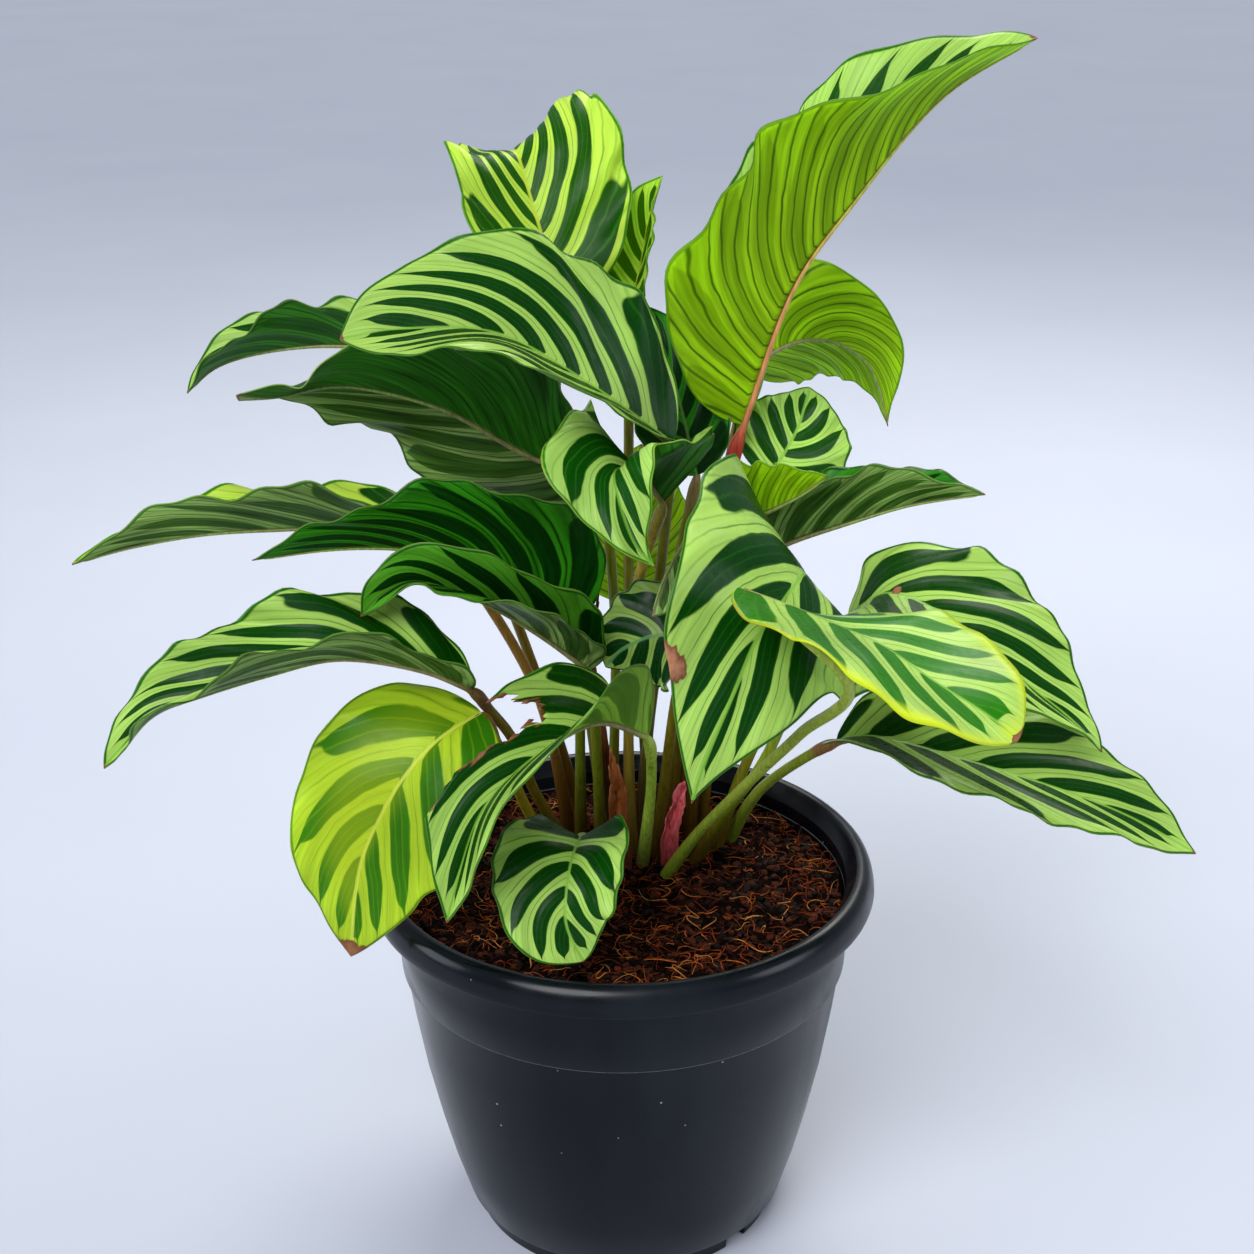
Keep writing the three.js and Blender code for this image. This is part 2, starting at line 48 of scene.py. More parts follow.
def hexColour(text):
    # sRGB hex to the linear colour that a shader wants
    steps = [int(text[i:i + 2], 16) / 255 for i in (1, 3, 5)]
    return tuple(c / 12.92 if c < 0.04045 else ((c + 0.055) / 1.055) ** 2.4 for c in steps) + (1.0,)


def newMaterial(name):
    # an empty material, the function that adds a node to it, and its Object coordinates
    material = bpy.data.materials.new(name)
    material.use_nodes = True
    tree = material.node_tree
    tree.nodes.clear()

    def add(kind, inputs=(), **settings):
        # inputs by name, or in the order that the node shows them: a value, a hex colour, a node or a socket
        made = tree.nodes.new("ShaderNode" + kind)
        for key, value in settings.items():
            setattr(made, key, value)
        if isinstance(inputs, dict):
            pairs = [(made.inputs[key], value) for key, value in inputs.items()]
        else:
            pairs = zip([socket for socket in made.inputs if socket.enabled], inputs)
        for socket, value in pairs:
            if isinstance(value, bpy.types.Node):
                value = next(out for out in value.outputs if out.enabled)
            if isinstance(value, bpy.types.NodeSocket):
                tree.links.new(value, socket)
            else:
                socket.default_value = hexColour(value) if isinstance(value, str) else value
        return made

    return material, add, add("TexCoord").outputs["Object"]


def rideAs(piece, name, slot, node=None):
    # names a finished piece, lets it ride on the plant and stand for its CAD node
    piece.name = name
    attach(piece, "root")
    if node:
        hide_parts(node)


def pieceName(node):
    first, *rest = node.split("_")
    return first + "".join(word.capitalize() for word in rest)


# View and light

cameraPlan = {
    "place": (0.0, -0.7377, 0.56805),
    "down": 22.26, "turn": 0.21, "roll": -0.45,  # degrees
    "lens": 57.42,
}


def addCamera():
    down, turn, roll = (math.radians(cameraPlan[k]) for k in ("down", "turn", "roll"))
    ahead = Vector((math.sin(turn) * math.cos(down), math.cos(turn) * math.cos(down), -math.sin(down)))
    level = Vector((math.cos(turn), -math.sin(turn), 0))
    above = level.cross(ahead)
    right = level * math.cos(roll) + above * math.sin(roll)
    up = above * math.cos(roll) - level * math.sin(roll)
    bpy.ops.object.camera_add(location=cameraPlan["place"])
    camera = bpy.context.active_object
    camera.data.lens = cameraPlan["lens"]
    camera.data.sensor_width = 36
    camera.data.clip_start = 0.05
    camera.rotation_euler = Matrix((right, up, -ahead)).transposed().to_euler()
    bpy.context.scene.camera = camera


lampPlan = [
    # kind, name, place, aim, size (m, or degrees for the sun), power (W, or W/m2), colour
    ("SUN", "skyFront", (-0.65, -1.25, 1.5), (0.0, 0.0, 0.25), 38, 3.0, "#fbfcff"),
    ("AREA", "skyBack", (0.35, 0.95, 1.45), (0.0, 0.0, 0.3), 1.2, 24, "#fffdf4"),
    ("AREA", "sideRight", (1.45, -0.5, 0.75), (0.0, 0.0, 0.2), 0.8, 7, "#f2f6ff"),
    ("AREA", "sideLeft", (-1.5, -0.1, 0.6), (0.0, 0.0, 0.2), 0.8, 6, "#eef4ff"),
]


def addLamps():
    for kind, name, place, aim, size, power, colour in lampPlan:
        bpy.ops.object.light_add(type=kind, location=place)
        lamp = bpy.context.active_object
        lamp.name = name
        if kind == "SUN":
            lamp.data.angle = math.radians(size)
        else:
            lamp.data.shape = "DISK"
            lamp.data.size = size
        lamp.data.energy = power
        lamp.data.color = hexColour(colour)[:3]
        lamp.rotation_euler = (Vector(place) - Vector(aim)).to_track_quat("Z", "Y").to_euler()
    world = bpy.data.worlds.new("paleSky")
    world.use_nodes = True
    sky = world.node_tree.nodes["Background"].inputs
    sky["Color"].default_value = hexColour("#dde6f0")
    sky["Strength"].default_value = 0.5
    bpy.context.scene.world = world


def addFloor():
    # Matt laminate: plain, pale and dull, with a trace of unevenness in its tone.
    material, add, place = newMaterial("mattLaminateFloor")
    cloud = add("TexNoise", {"Vector": place, "Scale": 3.0, "Detail": 3.0})
    tone = add("Mix", [cloud, "#a9adba", "#b3b7c3"], data_type="RGBA")
    surface = add("BsdfPrincipled", {"Base Color": tone, "Roughness": 0.8})
    add("OutputMaterial", {"Surface": surface})
    bpy.ops.mesh.primitive_plane_add(size=17, location=(0, 0, 0))
    floor = bpy.context.active_object
    floor.name = "floor"
    floor.data.materials.append(material)


addCamera()
addLamps()
addFloor()
print("camera, lamps and floor ready")


# Curves that the leaves grow along


def smoothPath(points, perSpan):
    # Catmull-Rom through the points, with its ends led on
    p = np.array(points, float)
    ends = np.vstack([2 * p[0] - p[1], p, 2 * p[-1] - p[-2]])
    path = []
    for i in range(len(p) - 1):
        a, b, c, d = ends[i:i + 4]
        for s in np.linspace(0, 1, perSpan, endpoint=False):
            u, w = 0.5 * (c - a), 0.5 * (d - b)
            path.append(b + u * s + (3 * (c - b) - 2 * u - w) * s**2 + (2 * (b - c) + u + w) * s**3)
    return np.array(path + [p[-1]])


def pathLength(path):
    return np.concatenate([[0], np.cumsum(np.linalg.norm(np.diff(path, axis=0), axis=1))])


def unit(v):
    return v / np.maximum(np.linalg.norm(v, axis=-1, keepdims=True), 1e-9)


def ease(x, low, high):
    s = np.clip((x - low) / (high - low), 0, 1)
    return s * s * (3 - 2 * s)


class Rib:
    # a midrib, followed by its share t of the length, and led on a little before its start
    nearby = 0.012  # share of the length over which a direction is taken

    def __init__(self, points):
        self.path = smoothPath(points, 60)
        run = pathLength(self.path)
        self.length = run[-1]
        self.run = run / run[-1]
        self.lead = unit(self.path[1] - self.path[0])

    def point(self, t):
        held = np.clip(t, 0, 1)
        at = np.stack([np.interp(held, self.run, self.path[:, k]) for k in range(3)], -1)
        return at + np.minimum(t, 0)[..., None] * self.length * self.lead

    def tangent(self, t):
        held = np.clip(t, self.nearby, 1 - self.nearby)
        return unit(self.point(held + self.nearby) - self.point(held - self.nearby))


def along(values, t):
    # values spaced evenly along a leaf, eased from one to the next
    v = np.array(values, float).reshape(len(values), -1)
    last = len(v) - 1
    x = np.clip(t, 0, 1) * last
    i = np.minimum(x.astype(int), max(last - 1, 0))
    f = (x - i)[..., None]
    if last > 1:
        f = f * f * (3 - 2 * f)
    mixed = v[i] if last == 0 else v[i] * (1 - f) + v[i + 1] * f
    return mixed[..., 0] if mixed.shape[-1] == 1 else mixed


def facing(leaf, rib, t):
    # the directions across the blade and up from it, at t along the midrib
    ahead = rib.tangent(t)
    across = unit(np.cross(ahead, along(leaf["face"], t)))
    return across, np.cross(across, ahead)


plainLeaf = {
    # outline: powers at base and tip, share of the width on each side, how far the margin leads the midrib
    "shape": [0.58, 0.92], "halves": [1, 1], "lead": 2.3,
    # where the side veins leave the midrib; mm that the base reaches back on each side, and how that fades
    "sweep": [0.72, 2.3], "lobe": [3, 3], "heart": [5.2, 3.5],
    # curl of each half in degrees; edge waves: height in mm, number, shift; then the finer relief
    "curl": [0, 0], "wave": [2.5, 3.5, 0], "pleat": 0.35, "ripple": 1.3, "scallop": 0.022, "channel": 0.35,
    "via": [], "slot": "striped_leaf", "top": "striped", "under": "grey", "step": 0.2,
    "stem": ["#4a2c0a", "#6e6c14", "#7c6a3c"],  # foot, top and joint
    "ribTints": ["#8f8a58", "#7f9a4c"], "jointSize": 2.5, "jointSpan": 12,
    "shadedHalf": [0, 0], "yellowing": [], "burns": [], "tear": None,
}


def veinStart(t, side, sweep):
    # where on the midrib (0 to 1) the side vein leaves that passes here: it runs out, then forward along the edge
    low, high = np.zeros_like(t), np.ones_like(t)
    lag = 0.4 * side**0.8 + 0.6 * side**1.8
    for _ in range(26):  # each pass halves the gap
        b = (low + high) / 2
        past = b + (1 - (1 - b ** sweep[0]) ** sweep[1] - b) * lag > t
        low, high = np.where(past, low, b), np.where(past, b, high)
    return b


def beats(leaf, vein, v):
    # counts the stripes from the base: evenly at first, few towards the tip, which ends in a pale one
    count = leaf["bands"] * (vein - vein**4 / 4) / 0.75
    return count - leaf["bands"] + 0.5 + leaf["step"] * (np.sign(v) / 2)


reliefPlan = {
    "bites": 6.5, "frills": 2.7,  # bites out of the edge along a leaf, and frills to each of its waves
    "lag": 0.37, "channelWidth": 1.5,  # share of a wave between the two halves; mm
}


def bladePlaces(leaf, rib, a, v):
    # a runs from the base along the side veins to the tip, v across from the left edge (-1) to the right (1);
    # gives places, distances from midrib and edge, where the side vein starts, and run: how far along the leaf
    side, left = np.abs(v), v < 0
    m = 1 - (1 - a) ** leaf["lead"]
    p, q = leaf["shape"]
    peak = (p / (p + q)) ** p * (q / (p + q)) ** q
    depth, count, phase = leaf["wave"]

    def halfAt(m):
        plain = leaf["width"] / 2 * np.maximum(m, 1e-9) ** p * np.maximum(1 - m, 0) ** q / peak
        plain = plain * np.where(left, *leaf["halves"])
        bites = np.sin(2 * np.pi * (reliefPlan["bites"] * m + phase + np.where(left, 0, 0.4)))
        return plain * (1 + leaf["scallop"] * np.sin(np.pi * np.clip(m, 0, 1)) * bites)

    half = halfAt(m)
    lobe = np.where(left, *leaf["lobe"]) / rib.length
    run = a + (m - a) * (0.55 * side + 0.45 * side**2)
    vein = veinStart(run, side, leaf["sweep"])
    rise, fade = leaf["heart"]
    t = run - lobe * side**1.5 * (1 - m) ** fade * np.minimum(1, rise * m)
    across, up = facing(leaf, rib, t)
    fold = np.radians(np.where(left, *(along(bent, t) for bent in leaf["fold"])))
    curl = np.radians(np.where(left, *leaf["curl"]).astype(float))
    curl = np.where(np.abs(curl) < 1e-3, 1e-3, curl)
    end = fold + curl * side
    out = half * (np.sin(end) - np.sin(fold)) / curl
    lift = half * (np.cos(fold) - np.cos(end)) / curl
    belly = np.sin(np.pi * np.clip(m, 0, 1)) ** 0.6
    wave = np.sin(2 * np.pi * (count * m + phase + np.where(left, 0, reliefPlan["lag"])))
    lift += depth * belly * side**2.2 * wave
    # finer than the solid: pleats between the side veins, a frill at the edge, a channel over the midrib
    lift += leaf["pleat"] * belly * np.sin(np.pi * side) * np.cos(2 * np.pi * beats(leaf, vein, v))
    frill = np.sin(2 * np.pi * (count * reliefPlan["frills"] * m + 2 * phase + np.where(left, 0.2, 0.6)))
    lift += leaf["ripple"] * belly * side**5 * frill
    lift -= leaf["channel"] * (1 - m) * np.exp(-((half * side / reliefPlan["channelWidth"]) ** 2))
    place = rib.point(t) + across * (np.sign(v) * out)[..., None] + up * lift[..., None]
    return place, half * side, np.maximum(halfAt(run) - half * side, 0), vein, run


# What each leaf is: midrib points (mm), width, the way its face looks along it, the fold and curl of its
# halves (degrees), edge wave, root, points its stalk passes; then finish, stripes a half and stalk colours.
# Yellowed and burnt spots: place along and across, half sizes, strength.
leaves = {
    "leaf_tall": dict(rib=[(50, 45, 336), (68, 38, 392), (90, 32, 427), (121, 26, 467), (155, 22, 489)], width=100,
        face=[(-0.75, 0.55, 0.35), (-0.8, 0.2, 0.55), (-0.5, -0.1, 0.85)], fold=[[12, 60, 28], [45, 62, 28]],
        curl=[8, -8], wave=[4, 3, 0.1], shape=[0.52, 0.78], root=[18, 45], sweep=[0.8, 2.0], slot="backlit_leaf",
        under="backlit", bands=9, step=0.3, stem=["#5a1d14", "#8e2a20", "#a03528"], ribTints=["#d08a5c", "#a8b04c"],
        jointSize=3.2, jointSpan=34),
    "leaf_back_top": dict(rib=[(-25, 60, 382), (-29, 70, 403), (-35, 80, 423), (-41, 95, 438), (-47, 130, 428),
        (-50, 158, 408)], width=80, face=[(0, -1, 0.2), (0, -0.9, 0.5), (0, -0.1, 1)], fold=[[0, 20, 30],
        [0, 10, 22]], curl=[5, 10], wave=[4, 4, 0.2], halves=[0.72, 1.06], root=[-7, 56], via=[[-24, 58, 295]],
        sweep=[0.62, 3.0], top="bright", under="backlit", bands=8, stem=["#54400e", "#7c8a34", "#8a7a3c"]),
    "leaf_arch": dict(rib=[(21, 4, 341), (-10, -10, 368), (-44, -18, 390), (-79, -22, 393), (-101, -24, 390)],
        width=84, face=[(0.2, -0.8, 0.6), (0, -0.75, 0.68), (-0.2, -0.75, 0.6)], fold=[[60, 52, 30], [5, 15]],
        curl=[10, 0], wave=[4, 3, 0], shape=[0.6, 0.78], root=[9, 36], sweep=[0.55, 2.4], bands=7, step=0.3,
        stem=["#3c2a1c", "#706e14", "#7c6a3c"]),
    "leaf_left_upper": dict(rib=[(-8, 30, 318), (-37, 28, 330), (-70, 22, 351), (-106, 12, 363), (-129, 0, 362),
        (-142, -16, 367)], width=80, face=[(0, 0.75, 0.66), (0, 0.75, 0.66), (0, 0.6, 0.8), (-0.3, 0, 1)],
        fold=[[10, 10], [-5, 0]], curl=[8, 0], wave=[4, 3, 0.3], root=[-5, 41], via=[[-2, 34, 252]],
        slot="dark_leaf", top="streaked", bands=7, step=0.3, stem=["#4c360c", "#748014", "#86701a"],
        shadedHalf=[1, 0]),
    "leaf_left_far": dict(rib=[(-86, 70, 362), (-120, 80, 362), (-149, 84, 358), (-169, 82, 352), (-181, 78, 342)],
        width=50, face=[(0, -0.1, 1), (-0.2, -0.3, 1), (-0.5, -0.7, 0.6)], fold=[[70, 70, 60], [20, 10]],
        wave=[3, 2.5, 0.1], root=[-16, 52], via=[[-35, 47, 222]], under="dim", bands=5,
        stem=["#4a2c0a", "#7a6414", "#7c6a3c"]),
    "leaf_left_long": dict(rib=[(-78, 38, 298), (-106, 36, 298), (-133, 32, 298), (-167, 26, 298), (-197, 18, 295),
        (-218, 10, 291)], width=56, face=[(0, -0.1, 1), (0, -0.1, 1), (-0.2, -0.1, 1)], fold=[[42, 62, 65],
        [15, 15]], wave=[3, 2.5, 0.4], root=[-22, 42], via=[[-37, 38, 225]], top="bright", bands=6, step=0.4,
        stem=["#4a2c0a", "#86601c", "#96604a"]),
    "leaf_left_middle": dict(rib=[(-16, 8, 265), (-36, 2, 285), (-58, -4, 297), (-85, -10, 304), (-111, -16, 306),
        (-140, -22, 304)], width=76, face=[(0, 0, 1), (0, 0, 1), (-0.1, -0.1, 1)], fold=[[75, 68, 60], [-10, 0]],
        wave=[3, 3, 0.6], shape=[0.58, 1.1], root=[-18, 31], slot="dark_leaf", top="deep", under="gloss", bands=9,
        stem=["#46300a", "#606e12", "#7c5a34"]),
    "leaf_left_under": dict(rib=[(-12, -2, 249), (-32, -10, 268), (-54, -20, 286), (-76, -28, 297), (-88, -34, 295),
        (-98, -36, 286)], width=60, face=[(0, -0.3, 0.9), (0, -0.5, 0.85), (-0.5, -0.6, 0.5)], fold=[[62, 56, 30],
        [100, 95, 60]], wave=[2.5, 2.5, 0.2], root=[-9, 27], top="shadedStriped", bands=5, step=0.3,
        stem=["#46300a", "#667014", "#7a6a3c"]),
    "leaf_left_low": dict(rib=[(-57, -36, 256), (-76, -42, 267), (-105, -50, 275), (-131, -56, 271),
        (-156, -62, 265), (-174, -64, 258), (-193, -66, 238)], width=58, face=[(0, -0.5, 0.85), (0, -0.6, 0.8),
        (-0.3, -0.7, 0.6)], fold=[[68, 75, 50], [8, 10]], curl=[0, 5], wave=[4.5, 4, 0], root=[-16, 20],
        via=[[-35, 2, 190], [-43, -14, 223], [-52, -26, 243]], bands=7, stem=["#4a2a0a", "#6a5a10", "#6a4a2c"]),
    "leaf_yellow": dict(rib=[(-54, -34, 245), (-70, -46, 239), (-85, -54, 224), (-98, -58, 200), (-103, -60, 182),
        (-107, -58, 151)], width=76, face=[(-0.2, -0.6, 0.8), (-0.2, -0.9, 0.45), (-0.3, -0.9, 0.2)], fold=[[10, 5],
        [10, 5]], curl=[-10, -15], lobe=[6, 6], wave=[1.5, 2.5, 0.2], root=[-25, 12], via=[[-40, -8, 192],
        [-48, -24, 224]], slot="yellow_leaf", top="yellow", under="pale", bands=4.6, step=0.5,
        stem=["#5a440e", "#94801a", "#8a5a30"], yellowing=[[0.5, 0.3, 0.7, 0.6, 0.25]],
        burns=[[1.0, 0, 0.09, 2.5, 0.52]]),
    "leaf_front_left": dict(rib=[(11, -20, 228), (-9, -44, 245), (-32, -70, 243), (-52, -86, 227), (-65, -96, 188)],
        width=68, face=[(0, -0.4, 0.9), (-0.2, -0.7, 0.7), (-0.4, -0.85, 0.3)], fold=[[108, 62, 40], [20, 28, 50]],
        curl=[0, -10], wave=[2, 2.5, 0.3], shape=[0.72, 1], halves=[1, 0.85], root=[8, 17], via=[[12, -4, 196]],
        under="pale", bands=5.2, step=0.3, stem=["#5a5a24", "#9ab83e", "#a8c04c"], tear=[0.35, 1.0, 0.09, 0.5]),
    "leaf_small_front": dict(rib=[(-16, -54, 201), (-19, -70, 200), (-21, -81, 192), (-21, -87, 181),
        (-15, -91, 168)], width=56, face=[(0, -0.7, 0.75), (0, -0.75, 0.7), (0.1, -0.9, 0.4)], fold=[[40, 36],
        [12, 8]], curl=[-10, -10], lobe=[16, 15], heart=[14, 5], wave=[1, 2.5, 0.2], shape=[0.45, 0.7],
        halves=[0.88, 1.05], root=[-10, 9], bands=4.7, step=0.1, stem=["#54420e", "#86961e", "#8a9a40"]),
    "leaf_centre": dict(rib=[(17, -10, 322), (8, -24, 338), (-1, -40, 344), (0, -52, 337), (5, -60, 324),
        (13, -64, 315)], width=68, face=[(-0.3, -0.2, 0.9), (-0.3, -0.7, 0.7), (0.1, -0.95, 0.3)], fold=[[46, 20],
        [42, 12]], lobe=[10, -12], heart=[10, 4.5], wave=[3, 3, 0.2], shape=[0.44, 1.3], halves=[0.93, 1],
        root=[4, 27], via=[[4, 18, 257]], top="fresh", under="dim", bands=4.2, step=0.3,
        stem=["#6a5420", "#a08a2c", "#a09034"]),
    "leaf_front_big": dict(rib=[(79, -14, 278), (70, -44, 302), (66, -64, 312), (56, -88, 310), (47, -102, 303),
        (39, -110, 287), (29, -118, 265), (24, -122, 250)], width=104, face=[(0.6, 0.3, 0.75), (0.7, -0.1, 0.7),
        (0.25, -0.75, 0.6), (0, -0.9, 0.4)], fold=[[5, -12], [5, 5]], wave=[3.5, 2.5, 0.2], shape=[0.52, 1.15],
        root=[30, 24], via=[[42, 10, 175], [60, -14, 219]], bands=4.6, step=0.4,
        stem=["#54400e", "#86961e", "#8a8a40"], burns=[[0.747, 1.0, 0.045, 0.14, 0.7]]),
    "leaf_front_right": dict(rib=[(40, -112, 326), (57, -119, 322), (71, -126, 318), (86, -136, 314),
        (101, -146, 306), (117, -155, 298), (127, -160, 291)], width=84, face=[(0.1, -0.4, 0.9), (0.1, -0.4, 0.9),
        (0.2, -0.5, 0.8)], fold=[[-60, -22, 0], [30, 30, 20]], lobe=[4, 14], wave=[2, 2, 0.1], shape=[0.56, 0.66],
        halves=[1.08, 0.96], root=[17, 12], via=[[32, -6, 177], [52, -34, 216], [67, -64, 249], [77, -120, 294]],
        top="edged", under="pale", bands=5, step=0.4, stem=["#6e7e20", "#9cae40", "#8a5a34"],
        yellowing=[[0.65, 1.0, 0.55, 0.14, 0.9], [1.0, 0, 0.09, 1.6, 0.8], [0.8, -1.0, 0.4, 0.1, 0.6]],
        burns=[[1.0, 0, 0.03, 1.5, 0.65]]),
    "leaf_right_upper": dict(rib=[(92, 12, 266), (108, -4, 281), (134, -30, 275), (155, -46, 259), (170, -53, 248),
        (182, -56, 236)], width=70, face=[(0, -0.5, 0.85), (0, -0.5, 0.85), (0.4, -0.6, 0.6)], fold=[[0, 5],
        [15, 45]], lobe=[14, 2], wave=[3, 3, 0.1], root=[39, 30], bands=6, step=0.4,
        stem=["#54420e", "#86861e", "#8a7a40"], burns=[[0.21, -0.05, 0.02, 0.1, 0.6]]),
    "leaf_right_low": dict(rib=[(86, -14, 222), (101, -24, 228), (132, -36, 224), (170, -46, 215), (196, -52, 206),
        (222, -56, 192)], width=74, face=[(0, -0.5, 0.85), (0, -0.55, 0.85), (0.3, -0.6, 0.7)], fold=[[2, -4],
        [48, 28]], lobe=[10, 10], wave=[2.5, 3.5, 0.2], root=[45, 40], bands=5.3, step=0.3,
        stem=["#667a18", "#8e9e34", "#8a5a38"]),
    "leaf_right_middle": dict(rib=[(53, 18, 287), (67, 18, 295), (89, 14, 304), (111, 8, 313), (127, 2, 318),
        (142, -2, 321)], width=54, face=[(0, 0, 1), (0, 0, 1), (0.1, 0, 1)], fold=[[38, 30], [65, 60]],
        wave=[2, 2.5, 0.2], root=[34, 45], slot="dark_leaf", top="deep", bands=6),
    "leaf_back_right": dict(rib=[(57, 112, 340), (68, 112, 349), (81, 112, 354), (95, 110, 353), (107, 106, 346),
        (113, 102, 335), (117, 98, 319)], width=78, face=[(0.05, 1, 0.15), (0.1, 1, 0.1), (0.35, 0.9, 0.1)],
        fold=[[43, 43], [5, 40]], wave=[2, 2.5, 0.1], shape=[0.5, 1.4], halves=[1, 0.92], root=[24, 61],
        slot="backlit_leaf", under="backlit", bands=6.5, stem=["#4a2c0a", "#86701a", "#7c6a3c"]),
    "leaf_back_centre": dict(rib=[(61, 46, 312), (69, 54, 322), (75, 62, 331), (80, 72, 344)], width=52,
        face=[(0, -0.85, 0.5), (0, -0.9, 0.4)], fold=[[15, 20], [5, 15]], lobe=[3, 12], wave=[2.5, 3, 0.1],
        root=[27, 50], under="backlit", bands=4.5, step=0.3),
    "leaf_right_inner": dict(rib=[(43, 4, 307), (57, -2, 315), (70, -6, 323), (80, -8, 331)], width=48,
        face=[(0, 0, 1), (0, 0, 1), (0.1, 0, 1)], fold=[[30, 20], [75, 70]], wave=[1, 2, 0.2], root=[29, 35],
        slot="backlit_leaf", top="fresh", under="backlit", bands=5),
    "leaf_back_rolled": dict(rib=[(5, 76, 376), (10, 80, 395), (13, 84, 410), (16, 86, 421), (19, 88, 429)],
        width=44, face=[(-0.5, -0.8, 0.2), (-0.6, -0.7, 0.2), (-0.6, -0.6, 0.5)], fold=[[60, 65], [45, 45]],
        wave=[1.5, 2, 0.2], root=[3, 62], top="bright", under="backlit", bands=5),
    "leaf_inner_dark": dict(rib=[(32, 44, 315), (26, 54, 340), (19, 64, 362), (12, 76, 378)], width=42,
        face=[(-0.3, -0.8, 0.5), (-0.3, -0.8, 0.5)], fold=[[20, 20], [10, 10]], wave=[2, 2, 0.2], root=[7, 49],
        slot="dark_leaf", top="deep", under="dim", bands=5, step=0.3),
    "leaf_inner_striped": dict(rib=[(27, -13, 266), (14, -11, 267), (1, -8, 260), (-6, -5, 251)], width=46,
        face=[(0, -0.6, 0.8), (-0.3, -0.7, 0.5)], fold=[[-35, -35], [10, 10]], wave=[1, 2, 0.2], root=[14, 25],
        via=[[21, 0, 226]], slot="dark_leaf", top="greyed", bands=3.6, stem=["#46300a", "#665a10", "#6a5a34"]),
    "leaf_inner_grey": dict(rib=[(32, -8, 314), (25, -22, 309), (17, -30, 297), (12, -34, 284)], width=44,
        face=[(0.85, -0.1, 0.5), (0.8, 0.4, 0.2)], fold=[[50, 50], [50, 50]], wave=[1, 2, 0.2], root=[21, 34],
        slot="dark_leaf", top="deep", bands=4.5, stem=["#46300a", "#665a10", "#6a5a34"]),
    "leaf_back_low": dict(rib=[(3, 74, 247), (5, 80, 265), (7, 88, 287), (10, 98, 312)], width=60,
        face=[(0, 0.9, 0.3), (0, 0.9, 0.3)], fold=[[10, 10], [10, 10]], wave=[1.5, 2, 0.1], root=[13, 58],
        slot="backlit_leaf", top="deep", under="backlit", bands=6, stem=["#46300a", "#665a10", "#6a5a34"]),
}


# Leaf skins: colours of dark stripe, pale stripe, veins, margin, edge, midrib, light coming through, shaded half;
# then share of light let through, roughness, how much wider the pale stripes are, veins a stripe, their
# strength, streaks

skinKeys = (
    "dark", "pale", "line", "margin", "edge", "rib", "through", "shade",
    "glow", "rough", "share", "lines", "fine", "streak",
)
skins = {
    "striped": ("#053a04", "#a6cc5e", "#2a7014", "#175c0a", "#6a9432", "#86bc44", "#98cf30", "#0a4410",
        0.22, 0.27, 0.0, 5, 0.3, 0.14),
    "bright": ("#084404", "#c8e650", "#4a9420", "#2c7c10", "#90b83c", "#d2e63c", "#b4e42c", "#135218",
        0.34, 0.3, 0.02, 5, 0.35, 0.14),
    "fresh": ("#0c4c06", "#b2dc68", "#46902a", "#2f8410", "#b4cc50", "#7fba44", "#acdc38", "#1a5c20",
        0.3, 0.28, 0.0, 5, 0.32, 0.12),
    "deep": ("#032a03", "#2a7a10", "#0c3c08", "#0a4208", "#6f9438", "#5a8a34", "#62aa18", "#0a3a10",
        0.2, 0.26, -0.03, 5, 0.5, 0.3),
    # shadedStriped: the striped skin darkened, painted shade for leaf_left_under where the leaf above shades it
    "shadedStriped": ("#053006", "#56a026", "#1c5a10", "#12500a", "#6f9438", "#5a8a34", "#6cb41c", "#0a3a10",
        0.2, 0.28, 0.0, 5, 0.35, 0.2),
    "streaked": ("#0c3f0e", "#2b7418", "#8aa85a", "#1e661a", "#a0b860", "#8f9a58", "#5fa51c", "#103f15",
        0.2, 0.3, 0.0, 5, 0.3, 0.2),
    "greyed": ("#06300a", "#86a44c", "#2a5628", "#0b3c16", "#7a9c68", "#5a8a50", "#4f9a34", "#06301a",
        0.15, 0.26, -0.02, 5, 0.3, 0.12),
    "yellow": ("#357c0c", "#bcd832", "#86b41c", "#5c9c14", "#d0c83c", "#e6f25c", "#dcee2c", "#3a8418",
        0.4, 0.3, 0.02, 5, 0.4, 0.16),
    "edged": ("#24780c", "#b6d86a", "#5a9a2a", "#8cc022", "#d8902c", "#86bc48", "#c0e040", "#2a6a2a",
        0.32, 0.28, 0.0, 5, 0.35, 0.12),
    "grey": ("#3e6420", "#88a858", "#1a3a10", "#3a6a1c", "#84985c", "#8a7660", "#7cb42a", "#2e7418",
        0.22, 0.46, 0.0, 5, 0.7, 0.7),
    "dim": ("#226410", "#3c8820", "#0a2e08", "#205418", "#6f8a44", "#86784c", "#62a020", "#165a0e",
        0.22, 0.42, 0.0, 5, 0.7, 0.35),
    "gloss": ("#083a06", "#2f8412", "#072a06", "#12500c", "#6f9438", "#76702c", "#62aa18", "#0c3a10",
        0.18, 0.3, -0.02, 3, 0.7, 0.5),
    # backlit: bright yellow-green base colours, a painted glow of light shining through the leaf, laid over its
    # translucent share
    "backlit": ("#a2d612", "#bce81c", "#2a5606", "#7cba14", "#a8c83c", "#b8a058", "#bcec14", "#4c9018",
        0.5, 0.42, 0.0, 3, 0.8, 0.3),
    "pale": ("#64982a", "#9ccc44", "#5f8430", "#6ca030", "#c0b04c", "#b0a860", "#c4e23a", "#86a848",
        0.36, 0.45, 0.0, 5, 0.5, 0.25),
}


